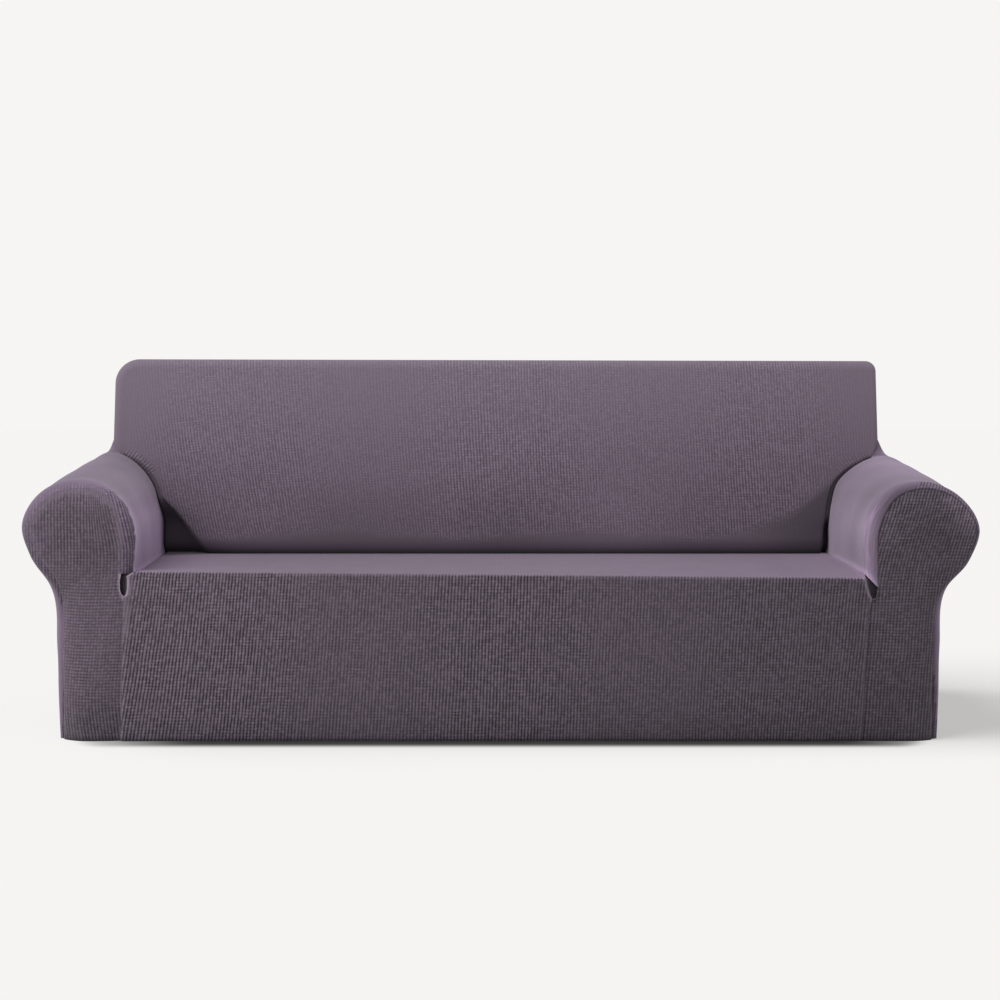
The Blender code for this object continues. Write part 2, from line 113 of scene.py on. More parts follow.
def sun(name, setting, lit):
    """Strength, width in degrees, and tilt to the front and to the left. It lights one group."""
    strength, width, forward, left = setting
    light = bpy.data.lights.new(name, "SUN")
    light.energy = strength
    light.angle = np.radians(width)
    piece = bpy.data.objects.new(name, light)
    piece.rotation_euler = (np.radians(forward), np.radians(left), 0.0)
    piece.light_linking.receiver_collection = lit
    bpy.context.scene.collection.objects.link(piece)


def front_lamp():
    """Power, side length, place, and the point that it is turned to. It lights the cover alone."""
    power, side, place, aim = FRONT_LAMP
    light = bpy.data.lights.new("front_lamp", "AREA")
    light.energy = power
    light.size = side
    piece = bpy.data.objects.new("front_lamp", light)
    piece.location = place
    piece.rotation_euler = (Vector(aim) - Vector(place)).to_track_quat("-Z", "Y").to_euler()
    piece.visible_camera = False
    piece.light_linking.receiver_collection = lit_cloth
    bpy.context.scene.collection.objects.link(piece)


def maths(tree, operation, *values):
    """A Math node on the given values, each a number or another node's output."""
    node = tree.nodes.new("ShaderNodeMath")
    node.operation = operation
    for socket, value in zip(node.inputs, values):
        if isinstance(value, (int, float)):
            socket.default_value = value
        else:
            tree.links.new(value, socket)
    return node.outputs["Value"]


def scaled(tree, colour, amount):
    """A colour times an amount that changes over the surface."""
    node = tree.nodes.new("ShaderNodeVectorMath")
    node.operation = "SCALE"
    node.inputs[0].default_value = colour
    tree.links.new(amount, node.inputs["Scale"])
    return node.outputs["Vector"]


def split(tree, vector):
    """X and Y of a vector."""
    node = tree.nodes.new("ShaderNodeSeparateXYZ")
    tree.links.new(vector, node.inputs["Vector"])
    return node.outputs["X"], node.outputs["Y"]


def floor():
    """A wide plane with a painted shadow round the hem, fainter towards both ends of the front.

    The painted shade is e to the minus (distance from the footprint / width) to the fifth, less the fade.
    """
    half = FLOOR_SIZE / 2
    corners = [(-half, -half, 0), (half, -half, 0), (half, half, 0), (-half, half, 0)]
    mesh = bpy.data.meshes.new("floor")
    mesh.from_pydata(corners, [], [(0, 1, 2, 3)])
    paint = bpy.data.materials.new("pale_floor")
    paint.use_nodes = True
    tree = paint.node_tree
    shader = tree.nodes["Principled BSDF"]
    place = tree.nodes.new("ShaderNodeTexCoord")
    places = split(tree, place.outputs["Object"])
    beyond = []
    for value, half_side in zip(places, FOOTPRINT):
        far = maths(tree, "SUBTRACT", maths(tree, "ABSOLUTE", value), half_side)
        beyond.append(maths(tree, "POWER", maths(tree, "MAXIMUM", far, 0.0), 2.0))
    apart_by = maths(tree, "DIVIDE", maths(tree, "ADD", *beyond), CONTACT_WIDTH**2)
    middle, begin, fade = CONTACT_FADE
    along = maths(tree, "SUBTRACT", places[0], middle)
    along = maths(tree, "SUBTRACT", maths(tree, "ABSOLUTE", along), begin)
    along = maths(tree, "DIVIDE", maths(tree, "MAXIMUM", along, 0.0), fade)
    steep = maths(tree, "POWER", apart_by, CONTACT_POWER / 2)
    total = maths(tree, "ADD", steep, maths(tree, "POWER", along, 2.0))
    # Painted contact shadow: it darkens both the floor's colour and its glow.
    painted_contact = maths(tree, "EXPONENT", maths(tree, "MULTIPLY", total, -1.0))
    shade = maths(tree, "MULTIPLY_ADD", painted_contact, -CONTACT_PAINTED_SHADE, 1.0)
    tree.links.new(scaled(tree, FLOOR_COLOUR, shade), shader.inputs["Base Color"])
    tree.links.new(scaled(tree, FLOOR_GLOW, shade), shader.inputs["Emission Color"])
    shader.inputs["Roughness"].default_value = 1.0
    shader.inputs["Specular IOR Level"].default_value = 0.0
    shader.inputs["Emission Strength"].default_value = 1.0
    mesh.materials.append(paint)
    piece = bpy.data.objects.new("floor", mesh)
    bpy.context.scene.collection.objects.link(piece)
    lit_floor.objects.link(piece)


lit_cloth = bpy.data.collections.new("lit_cloth")
lit_floor = bpy.data.collections.new("lit_floor")
studio()
sun("high_lamp", HIGH_LAMP, lit_cloth)
sun("floor_lamp", FLOOR_LAMP, lit_floor)
front_lamp()
floor()

# ---------------------------------------------------------------- top and ends of the back
# The top of the back is a level band of jacquard with a rounded corner at each end. It is one
# cloth with the front of the back, and it turns a soft edge to a seam on the rear side.

# Heights: the seat, its creases, the seams at the back's ends, and the top. Depths: the rear, and
# the back's face at the seat. The top drops towards the rear.
SEAT_TOP = 0.400
CREASE = 0.392
END_SEAM = 0.702
BACK_TOP = 0.917
REAR = 0.440
REAR_DROP = 0.011
SEAT_BACK = 0.140

# The face: its lean as a slope, how far it swells, and its tuck. Then the radii of both edges, and
# the height where the crest of each arm meets the back.
BACK_LEAN = 0.22
BACK_CROWN = 0.012
TUCK_HEIGHT = 0.048
TUCK_DEPTH = 0.045
BACK_EDGE = 0.022
REAR_EDGE = 0.022
CREST_HEIGHT = {"left": 0.664, "right": 0.653}
# Ends of the back: distance from the middle, radius of the corner, and height of the top.
BACK_ENDS = {"left": (1.037, 0.064, BACK_TOP), "right": (1.014, 0.027, 0.912)}

# Parts into which the band's edges, depth, sides, corners and length are divided.
EDGE_STEPS = 8
END_DEPTH_STEPS = 24
END_SIDE_STEPS = 32
CORNER_STEPS = 32
COLUMNS = 240


def lerp(a, b, t):
    """The value a part t of the way from a to b."""
    return a + (b - a) * t


def ease(t):
    """0 to 1 with a level start and end: 3 t squared less 2 t cubed."""
    t = np.clip(t, 0.0, 1.0)
    return t * t * (3 - 2 * t)


def after(value, start, run):
    """0 up to the start, then rising softly to 1 over a run."""
    return ease((value - start) / run)


def sag(distance, reach):
    """1 at no distance, steeply down to 0 at the reach: (1 less distance / reach) squared."""
    return np.clip(1 - distance / reach, 0, 1) ** 2


def bell(distance, width):
    """A soft ridge: 1 at no distance, e to the minus (distance / width) squared beyond."""
    return np.exp(-((distance / width) ** 2))


def points_at(outline, y):
    """The outline's X and Z, with Y given for each point or for all."""
    return np.stack([outline[:, 0], np.broadcast_to(y, len(outline)), outline[:, 1]], axis=1)


def face_depth(x, z):
    """Y of the front of the back: it leans, swells a little and tucks in above the seat.

    The swell is 4 times climb times (1 less climb), times (1 less X to the fourth).
    """
    climb = (z - SEAT_TOP) / (BACK_TOP - SEAT_TOP)
    swell = np.clip(1 - x**4, 0, 1) * np.clip(4 * climb * (1 - climb), 0, 1)
    tuck = sag(z - CREASE, TUCK_HEIGHT)
    return SEAT_BACK + BACK_LEAN * (z - SEAT_TOP) - BACK_CROWN * swell + TUCK_DEPTH * tuck


def back_outline(inset, seam_height):
    """End, top and end of the back in X and Z, drawn in by inset, from the left seam round.

    The two ends are straight and upright, and quarter circles join them to the top.
    """
    quarter = np.linspace(0, np.pi / 2, CORNER_STEPS + 1)
    left_x, left_radius, left_top = BACK_ENDS["left"]
    right_x, right_radius, right_top = BACK_ENDS["right"]
    left_arc = np.stack([-np.cos(quarter), np.sin(quarter)], axis=1) * (left_radius - inset)
    left_arc += (left_radius - left_x, left_top - left_radius)
    right_arc = np.stack([np.sin(quarter), np.cos(quarter)], axis=1) * (right_radius - inset)
    right_arc += (right_x - right_radius, right_top - right_radius)
    climb = np.linspace(0, 1, END_SIDE_STEPS + 1)[:-1, None]
    left_foot = np.array([inset - left_x, seam_height["left"]])
    right_foot = np.array([right_x - inset, seam_height["right"]])
    along = np.linspace(0, 1, COLUMNS - CORNER_STEPS + 1)[1:-1, None]
    return np.vstack(
        [
            lerp(left_foot, left_arc[0], climb),
            left_arc,
            lerp(left_arc[-1], right_arc[0], along),
            right_arc,
            lerp(right_foot, right_arc[-1], climb)[::-1],
        ]
    )


def back_band():
    """The ends and top of the back. Rows follow its outline; columns run to the rear seam.

    The first and last few columns round the front and rear edges by a quarter turn.
    """
    columns = []
    for turn in np.linspace(0, np.pi / 2, EDGE_STEPS + 1):
        heights = {s: lerp(h, END_SEAM, np.sin(turn)) for s, h in CREST_HEIGHT.items()}
        outline = back_outline(BACK_EDGE * (1 - np.sin(turn)), heights)
        y = face_depth(*outline.T) + BACK_EDGE * (1 - np.cos(turn))
        columns.append(points_at(outline, y))
    front = columns[-1]
    heights = {side: END_SEAM for side in CREST_HEIGHT}
    rear_columns = []
    for turn in np.linspace(0, np.pi / 2, EDGE_STEPS + 1):
        outline = back_outline(REAR_EDGE * (1 - np.cos(turn)), heights)
        outline[:, 1] -= REAR_DROP * after(outline[:, 1], END_SEAM, BACK_TOP - END_SEAM)
        rear_columns.append(points_at(outline, REAR - REAR_EDGE * (1 - np.sin(turn))))
    between = [lerp(front, rear_columns[0], k / END_DEPTH_STEPS) for k in range(1, END_DEPTH_STEPS)]
    return np.stack([*columns, *between, *rear_columns], axis=1)


band = back_band()

# ---------------------------------------------------------------- arms
# Each arm is one panel of the smoother side of the knit. It runs from the seat over the roll and
# down the outer wall to the hem, and goes on past the end of the back to the rear seam.

FINE = 8
TINY = 1e-9

# Depth of the arm's front. The outer hem corner is drawn back: from what distance from the middle,
# over what width, by how much, and up to what height, over what height.
ARM_FACE = -0.433
CORNER_START = 0.985
CORNER_WIDTH = 0.075
CORNER_DEPTH = 0.034
CORNER_TOP = 0.42
CORNER_FADE = 0.15
CORNER_LIMIT = 1.2

# Parts along the arm, which are closer together round its front edge and near both ends.
ARM_LENGTH_STEPS = 64
EDGE_PACKING = 1.5
ARM_TURNS = np.pi / 2 * np.linspace(0, 1, EDGE_STEPS + 1) ** EDGE_PACKING
END_PACKING = 0.55

# Lines along the arm: distance from the middle and height at the front, the same where the arm
# meets the back, and the radius of the front edge.
ARM_LINES = {
    "left": (
        ("crease", 0.877, CREASE, 0.905, CREASE, 0.026),
        ("inner wall", 0.877, 0.520, 0.908, 0.512, 0.026),
        ("inner shoulder", 0.900, 0.572, 0.923, 0.576, 0.019),
        ("upper shoulder", 0.944, 0.612, 0.958, 0.626, 0.018),
        ("crest", 1.015, 0.627, 1.015, CREST_HEIGHT["left"], 0.024),
        ("flare", 1.058, 0.618, 1.052, 0.667, 0.024),
        ("outer shoulder", 1.096, 0.596, 1.083, 0.650, 0.024),
        ("outermost", 1.144, 0.513, 1.136, 0.548, 0.024),
        ("underside", 1.122, 0.440, 1.118, 0.455, 0.020),
        ("tuck under roll", 1.083, 0.376, 1.083, 0.384, 0.026),
        ("outer wall", 1.068, 0.215, 1.067, 0.215, 0.016),
        ("hem", 1.060, 0.000, 1.060, 0.000, 0.010),
    ),
    "right": (
        ("crease", 0.871, CREASE, 0.875, CREASE, 0.030),
        ("inner wall", 0.872, 0.522, 0.883, 0.535, 0.034),
        ("inner shoulder", 0.892, 0.573, 0.899, 0.586, 0.036),
        ("upper shoulder", 0.936, 0.609, 0.938, 0.625, 0.026),
        ("crest", 1.004, 0.622, 0.992, CREST_HEIGHT["right"], 0.018),
        ("flare", 1.046, 0.614, 1.034, 0.658, 0.014),
        ("outer shoulder", 1.087, 0.592, 1.070, 0.643, 0.010),
        ("outermost", 1.144, 0.505, 1.130, 0.540, 0.007),
        ("underside", 1.118, 0.430, 1.113, 0.446, 0.007),
        ("tuck under roll", 1.071, 0.366, 1.071, 0.378, 0.014),
        ("outer wall", 1.059, 0.215, 1.059, 0.215, 0.018),
        ("hem", 1.053, 0.000, 1.053, 0.000, 0.014),
    ),
}
# Lines past the back: distance from the middle and height beside its front, and at the rear.
END_LINES = {
    "left": (
        ("crest", 1.037, END_SEAM, 1.037, END_SEAM),
        ("flare", 1.052, 0.670, 1.045, 0.664),
        ("outer shoulder", 1.082, 0.645, 1.062, 0.620),
        ("outermost", 1.134, 0.548, 1.088, 0.540),
        ("underside", 1.117, 0.456, 1.087, 0.462),
        ("tuck under roll", 1.083, 0.384, 1.072, 0.386),
        ("outer wall", 1.067, 0.215, 1.062, 0.215),
        ("hem", 1.060, 0.000, 1.060, 0.000),
    ),
    "right": (
        ("crest", 1.014, END_SEAM, 1.014, END_SEAM),
        ("flare", 1.034, 0.664, 1.026, 0.660),
        ("outer shoulder", 1.067, 0.638, 1.046, 0.616),
        ("outermost", 1.128, 0.540, 1.078, 0.540),
        ("underside", 1.112, 0.447, 1.077, 0.460),
        ("tuck under roll", 1.071, 0.378, 1.064, 0.384),
        ("outer wall", 1.059, 0.215, 1.057, 0.215),
        ("hem", 1.053, 0.000, 1.053, 0.000),
    ),
}
# Parts from each line to the next, and the lines at the crest and at the hem.
LINE_STEPS = tuple(FINE * count for count in (2, 2, 2, 2, 2, 1, 3, 3, 2, 2, 2))
CREST_LINE = 4
CREST = sum(LINE_STEPS[:CREST_LINE])
HEM = sum(LINE_STEPS)

# The back stands off each arm in a dark pocket: its width and depth at the seat, the height where
# it closes, and the width of the dip along the seam above it.
POCKETS = {"left": (0.130, 0.060, 0.550, 0.016), "right": (0.020, 0.030, 0.500, 0.014)}
POCKET_FADE = 0.05
POCKET_DEEPENS = 2.2


def through(points, steps):
    """A smooth curve through the points, with steps[i] equal parts between point i and the next.

    Each span is a cubic whose slope at a point follows the points on both sides of it.
    """
    points = np.asarray(points, float)
    chord = np.linalg.norm(np.diff(points, axis=0), axis=1)[:, None]
    slope = np.diff(points, axis=0) / chord
    middle = (slope[:-1] * chord[1:] + slope[1:] * chord[:-1]) / (chord[:-1] + chord[1:])
    slopes = np.vstack([slope[:1], middle, slope[-1:]])
    spans = []
    for i, count in enumerate(steps):
        t = (np.arange(count) / count)[:, None]
        straight = lerp(points[i], points[i + 1], ease(t))
        bend = t * (1 - t) ** 2 * slopes[i] - t * t * (1 - t) * slopes[i + 1]
        spans.append(straight + bend * chord[i])
    return np.vstack([*spans, points[-1:]])


def section(rows, x_column, z_column, steps):
    """The smooth outline through two columns of a table of lines."""
    return through([(row[x_column], row[z_column]) for row in rows], steps)


def inward(outline):
    """Unit vectors at a right angle to an outline in X and Z, on the right of its run."""
    run = np.gradient(outline, axis=0)
    turned = np.stack([run[:, 1], -run[:, 0]], axis=1)
    return turned / np.linalg.norm(turned, axis=1)[:, None]


def before(value, end, run):
    """1, then falling softly over a run to 0 at the end."""
    return ease((end - value) / run)


def corner_setback(x, z):
    """How far the front is drawn back towards an outer hem corner: depth times way out squared."""
    out = np.clip((x - CORNER_START) / CORNER_WIDTH, 0, CORNER_LIMIT)
    return CORNER_DEPTH * out**2 * before(z, CORNER_TOP, CORNER_FADE)


def pocket_opening(side, z):
    """1 at the seat, 0 where the pocket closes."""
    closed_at = POCKETS[side][2]
    return np.clip((closed_at - z) / (closed_at - SEAT_TOP), 0, 1)


def pocket_width(side, z):
    """From its width at the seat down to that of the dip along the seam."""
    width, _, _, dip = POCKETS[side]
    return dip + (width - dip) * pocket_opening(side, z)


def pocket_depth(side, z):
    """How far behind the back's face the seam with the arm lies. It is nothing at the crest."""
    _, depth, _, dip = POCKETS[side]
    below_crest = before(z, CREST_HEIGHT[side], POCKET_FADE)
    return depth * ease(POCKET_DEEPENS * pocket_opening(side, z)) + dip / 2 * below_crest


def arm(side, band):
    """The arm at positive X, as two grids that share a column.

    The first runs from the front edge to the back, over every line, with its rows closer
    together at both ends. The second goes on past the end of the back, from the crest outwards.
    """
    lines = ARM_LINES[side]
    front = section(lines, 1, 2, LINE_STEPS)
    back = section(lines, 3, 4, LINE_STEPS)
    edge = np.interp(np.arange(HEM + 1), np.cumsum((0, *LINE_STEPS)), [row[5] for row in lines])
    face = ARM_FACE + corner_setback(front[:, 0], front[:, 1])
    end = band[0] if side == "left" else band[-1]
    seam_row = np.abs(end)
    seam_row[:, 1] = end[:, 1]

    columns = []
    for turn in ARM_TURNS:
        inset = (edge * (1 - np.sin(turn)))[:, None] * inward(front)
        columns.append(points_at(front + inset, face + edge * (1 - np.cos(turn))))
    back_y = np.full(HEM + 1, seam_row[0, 1])
    inner = back[: CREST + 1]
    back_y[: CREST + 1] = face_depth(*inner.T) + pocket_depth(side, inner[:, 1])
    front_edge, back_edge = columns[-1], points_at(back, back_y)
    for t in np.linspace(0, 1, ARM_LENGTH_STEPS + 1)[1:]:
        columns.append(lerp(front_edge, back_edge, lerp(t, ease(t), END_PACKING)))
    along = np.stack(columns, axis=1)
    along[CREST, -1] = seam_row[0]

    beside = section(END_LINES[side], 1, 2, LINE_STEPS[CREST_LINE:])
    rear = section(END_LINES[side], 3, 4, LINE_STEPS[CREST_LINE:])
    outer = back[CREST:]
    sections = [lerp(outer, beside, step / EDGE_STEPS) for step in range(EDGE_STEPS + 1)]
    for step in range(1, END_DEPTH_STEPS + 1):
        sections.append(lerp(beside, rear, ease(step / END_DEPTH_STEPS)))
    for turn in np.linspace(0, np.pi / 2, EDGE_STEPS + 1)[1:]:
        sections.append(rear + REAR_EDGE * (1 - np.cos(turn)) * inward(rear))
    past = np.stack([points_at(s, y) for s, y in zip(sections, seam_row[:, 1])], axis=1)
    past[0] = seam_row
    past[:, 0] = along[CREST:, -1]
    past[-1, :, 2] = 0.0
    along[-1, :, 2] = 0.0
    return along, past


def mirrored(grid, side):
    """A grid that is laid out at positive X, moved to its own side of the sofa."""
    return grid * np.array([-1.0 if side == "left" else 1.0, 1.0, 1.0])


def normals_of(grid):
    """Unit normals of a grid: the cross product of its runs along the rows and the columns."""
    across = np.gradient(grid, axis=1)
    up = np.gradient(grid, axis=0)
    normal = np.cross(across, up)
    return normal / np.maximum(np.linalg.norm(normal, axis=2), TINY)[..., None]


def lengths(grid, axis):
    """Distance from the grid's first row or column to each point, measured over the cloth."""
    steps = np.linalg.norm(np.diff(grid, axis=axis), axis=2)
    start = np.zeros_like(np.take(steps, [0], axis=axis))
    return np.cumsum(np.concatenate([start, steps], axis=axis), axis=axis)


def run_of(path):
    """Distance from a path's first point to each of its points, over its straight parts."""
    steps = np.linalg.norm(np.diff(np.asarray(path, float), axis=0), axis=1)
    return np.concatenate([[0], np.cumsum(steps)])


def beside_line(across, up, path):
    """Distance from each point to a path in the same two directions, and how far along it is."""
    path = np.asarray(path, float)
    run = run_of(path)
    best = np.full(across.shape, np.inf)
    place = np.zeros(across.shape)
    for start, end, begun in zip(path[:-1], path[1:], run):
        span = end - start
        t = ((across - start[0]) * span[0] + (up - start[1]) * span[1]) / (span @ span)
        t = np.clip(t, 0, 1)
        away = np.hypot(across - start[0] - t * span[0], up - start[1] - t * span[1])
        closer = away < best
        best = np.where(closer, away, best)
        place = np.where(closer, begun + t * np.linalg.norm(span), place)
    return best, place


CREASE_START = 0.02


def creases(across, up, rows):
    """Height of soft creases. Rows: height (less than nothing is a trough), width, and the path.

    Each is a bell beside its path, and thins out towards both ends over a quarter of its length.
    """
    total = np.zeros(across.shape)
    for height, width, path in rows:
        away, place = beside_line(across, up, path)
        length = run_of(path)[-1]
        ends = ease(4 * np.minimum(place, length - place) / length + CREASE_START)
        total += height * bell(away, width) * ends
    return total


def stations(value, rows):
    """A value read between the rows of a short table: place and value."""
    places, values = zip(*rows)
    return np.interp(value, places, values)


def waves(across, up, rows):
    """A sum of soft waves. Rows: height, waves a metre across and up, and phase in turns."""
    total = np.zeros(across.shape)
    for height, over, along, phase in rows:
        total += height * np.cos(2 * np.pi * (over * across + along * up + phase))
    return total


def layer(grid, turned, cloth, weave, tone, bars=0.0, pleats=0.0, front=None):
    """One grid of a panel: whether its faces are turned over, and what its points keep.

    Cloth is the place on the panel, and front that on the arm front's cloth, where it runs on.
    Weave is how strong the checks show, tone how light the cloth is, with much painted light and shade
    in it, bars how far the bars across the ribs outdo the ribs, and pleats how strong the fine pleats
    of the smooth side are.
    """
    values = {"weave": weave, "tone": tone, "bars": bars, "pleats": pleats}
    values.update({"cloth u": cloth[0], "cloth v": cloth[1]})
    if front is not None:
        values.update({"front u": front[0], "front v": front[1]})
    shape = grid.shape[:2]
    kept = {label: np.broadcast_to(value, shape).ravel() for label, value in values.items()}
    return grid, turned, kept


MERGE = 1e5


def cloth_mesh(name, layers):
    """One mesh of quads from several layers. Points closer than 0.01 mm become one."""
    quads, start = [], 0
    for grid, turned, _ in layers:
        rows, columns, _ = grid.shape
        corner = (np.arange(rows - 1)[:, None] * columns + np.arange(columns - 1)).ravel() + start
        faces = np.stack([corner, corner + 1, corner + columns + 1, corner + columns], axis=1)
        quads.append(faces[:, ::-1] if turned else faces)
        start += rows * columns
    quads = np.concatenate(quads)
    points = np.concatenate([grid.reshape(-1, 3) for grid, _, _ in layers])
    labels = layers[0][2]
    kept = {label: np.concatenate([values[label] for _, _, values in layers]) for label in labels}
    rounded = np.round(points * MERGE).astype(np.int64)
    _, first, shared = np.unique(rounded, axis=0, return_index=True, return_inverse=True)
    shared = shared.reshape(-1)
    mesh = bpy.data.meshes.new(name)
    mesh.from_pydata(points[first].tolist(), [], shared[quads].tolist())
    for label in ("cloth", "front"):
        if label + " u" in kept:
            places = np.stack([kept[label + " u"], kept[label + " v"]], axis=1)[quads.ravel()]
            uv_map = mesh.uv_layers.new(name=label)
            uv_map.uv.foreach_set("vector", places.ravel().astype(np.float32))
    for label in ("weave", "tone", "bars", "pleats"):
        data = mesh.attributes.new(label, "FLOAT", "POINT")
        data.data.foreach_set("value", kept[label][first].astype(np.float32))
    mesh.validate()
    mesh.shade_smooth()
    return mesh


# Thickness of the cloth, and how much more large faces count for how it catches the light.
CLOTH = 0.002
FACE_WEIGHT = 100


def dress(node, layers, material):
    """Makes a panel, gives it its thickness and finish, and puts it in its solid's place."""
    mesh = cloth_mesh(node + "_cloth", layers)
    mesh.materials.append(material)
    piece = bpy.data.objects.new(mesh.name, mesh)
    bpy.context.scene.collection.objects.link(piece)
    lit_cloth.objects.link(piece)
    wall = piece.modifiers.new("cloth", "SOLIDIFY")
    wall.thickness = CLOTH
    wall.offset = -1.0
    even = piece.modifiers.new("even_edges", "WEIGHTED_NORMAL")
    even.weight = FACE_WEIGHT
    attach(piece, "root")
    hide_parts(node)


def noise(tree, vector, scale, detail=2.0):
    """Soft noise from 0 to 1 at a scale of spots a metre."""
    node = tree.nodes.new("ShaderNodeTexNoise")
    node.inputs["Scale"].default_value = scale
    node.inputs["Detail"].default_value = detail
    tree.links.new(vector, node.inputs["Vector"])
    return node.outputs["Fac"]


def swing(tree, vector, scale, detail=2.0):
    """Noise that swings about nothing, from -0.5 to 0.5."""
    return maths(tree, "SUBTRACT", noise(tree, vector, scale, detail), 0.5)


def added(tree, total, *terms):
    """The total plus each term's value times its weight."""
    for value, weight in terms:
        total = maths(tree, "MULTIPLY_ADD", value, weight, total)
    return total


def joined(tree, x, y):
    """A vector from its X and Y."""
    node = tree.nodes.new("ShaderNodeCombineXYZ")
    tree.links.new(x, node.inputs["X"])
    tree.links.new(y, node.inputs["Y"])
    return node.outputs["Vector"]


def new_group(name, *amounts):
    """An empty node group from the place on the cloth and named amounts to shade and height."""
    group = bpy.data.node_groups.new(name, "ShaderNodeTree")
    group.interface.new_socket("Cloth", in_out="INPUT", socket_type="NodeSocketVector")
    for label in amounts:
        group.interface.new_socket(label, in_out="INPUT", socket_type="NodeSocketFloat")
    for label in ("Shade", "Height"):
        group.interface.new_socket(label, in_out="OUTPUT", socket_type="NodeSocketFloat")
    start = group.nodes.new("NodeGroupInput")
    end = group.nodes.new("NodeGroupOutput")
    return group, [start.outputs[label] for label in ("Cloth", *amounts)], end


# The smooth side. Rib: pitch, and shade. Cloud: spots a metre, and shade. Fibre and pleat: spots
# a metre, shade, and relief against the rib's. A pleat's noise is drawn out along the girth, and its
# shade is painted light and shade that follows its relief.
FINE_RIB = (0.0022, 0.05)
CLOUD = (9.0, 0.22)
FIBRE = (420.0, 0.25, 0.6)
PLEAT = (230.0, 0.9, 22.0)
PLEAT_DRAWN = 0.07


def knit_group():
    """Smooth side of the knit: fine ribs, slight cloudiness, and long narrow pleats with painted shade."""
    rib_pitch, rib_shade = FINE_RIB
    cloud_scale, cloud_shade = CLOUD
    fibre_scale, fibre_shade, fibre_relief = FIBRE
    pleat_scale, pleat_shade, pleat_relief = PLEAT
    group, (cloth, pleats), end = new_group("smooth_knit", "Pleats")
    across, down = split(group, cloth)
    rib = maths(group, "SINE", maths(group, "MULTIPLY", across, 2 * np.pi / rib_pitch))
    cloud = swing(group, cloth, cloud_scale)
    fibre = swing(group, cloth, fibre_scale)
    drawn = joined(group, across, maths(group, "MULTIPLY", down, PLEAT_DRAWN))
    pleat = maths(group, "MULTIPLY", swing(group, drawn, pleat_scale, detail=1.0), pleats)
    shades = (cloud, cloud_shade), (fibre, fibre_shade), (rib, rib_shade), (pleat, pleat_shade)
    height = added(group, rib, (fibre, fibre_relief), (pleat, pleat_relief))
    group.links.new(added(group, 1.0, *shades), end.inputs["Shade"])
    group.links.new(height, end.inputs["Height"])
    return group


# The jacquard. Pitch of its checks, then how far they drift and waver: spots a metre, and shift
# across and down in pitches. Patches of more bars: spots a metre, and the noise's gain and offset.
# Rib and bar: their share in the pattern, what a patch adds, and what the panel's bars add.
PITCH = (0.0078, 0.0075)
DRIFT = (11.0, 0.5, 0.9)
WAVER = (95.0, 0.14, 0.45)
PATCHES = (26.0, 5.0, -2.5)
RIB_SHARE = (0.66, -0.10, -0.44)
BAR_SHARE = (0.10, 0.26, 0.42)
# Clear and faint places: spots a metre, gain and offset. Chance from check to check. Loose fibres:
# spots a metre, how upright, gain and limit. The darkest groove, and the relief of a bar.
CLEAR = (17.0, 0.9, 0.58)
UNEVEN = 0.55
LOOSE = (330.0, 0.55, 3.0, 0.9)
DARKEST = 0.15
BAR_RELIEF = 0.3


def jacquard_group():
    """Small raised checks: upright ribs, with grooves between them that are broken into dashes.

    Rib and bar are cosines of U and V over their pitch, and both waver. The ribs are wide and
    light, their grooves narrow. Bars cross them in patches, each check is a little lighter or
    darker than the next, and short upright fibres lie over all of it.
    """
    group, (cloth, strength, more_bars), end = new_group("small_check", "Strength", "Bars")
    places = split(group, cloth)
    drift = swing(group, cloth, DRIFT[0])
    waver = swing(group, cloth, WAVER[0])
    counts = []
    for place, pitch, drifts, wavers in zip(places, PITCH, DRIFT[1:], WAVER[1:]):
        straight = maths(group, "DIVIDE", place, pitch)
        counts.append(added(group, straight, (drift, drifts), (waver, wavers)))
    rib, bar = [
        maths(group, "COSINE", maths(group, "MULTIPLY", count, 2 * np.pi)) for count in counts
    ]
    check = joined(group, *[maths(group, "ROUND", count) for count in counts])
    chance = group.nodes.new("ShaderNodeTexWhiteNoise")
    chance.noise_dimensions = "2D"
    group.links.new(check, chance.inputs["Vector"])
    patches, clear = [
        added(group, offset, (noise(group, cloth, scale), gain))
        for scale, gain, offset in (PATCHES, CLEAR)
    ]
    patches = maths(group, "MINIMUM", maths(group, "MAXIMUM", patches, 0.0), 1.0)
    rib_share, bar_share = [
        added(group, share, (patches, by_patch), (more_bars, by_panel))
        for share, by_patch, by_panel in (RIB_SHARE, BAR_SHARE)
    ]
    pattern = added(group, maths(group, "MULTIPLY", rib, rib_share), (bar, bar_share))
    pattern = maths(group, "MULTIPLY", pattern, clear)
    uneven = maths(group, "SUBTRACT", chance.outputs["Value"], 0.5)
    pattern = added(group, pattern, (uneven, UNEVEN))
    loose_scale, upright, loose_gain, most = LOOSE
    drawn = joined(group, places[0], maths(group, "MULTIPLY", places[1], upright))
    loose = maths(group, "MINIMUM", maths(group, "MULTIPLY", strength, loose_gain), most)
    shade = added(group, 1.0, (pattern, strength), (swing(group, drawn, loose_scale), loose))
    height = maths(group, "MULTIPLY", added(group, rib, (bar, BAR_RELIEF)), strength)
    group.links.new(maths(group, "MAXIMUM", shade, DARKEST), end.inputs["Shade"])
    group.links.new(height, end.inputs["Height"])
    return group


def point_value(tree, label):
    """A value that the mesh keeps on its points."""
    node = tree.nodes.new("ShaderNodeAttribute")
    node.attribute_name = label
    return node.outputs["Fac"]


# All cloths are matt, with hardly a shine and a soft sheen.
CLOTH_ROUGHNESS = 0.95
CLOTH_SPECULAR = 0.15
SHEEN_ROUGHNESS = 0.6


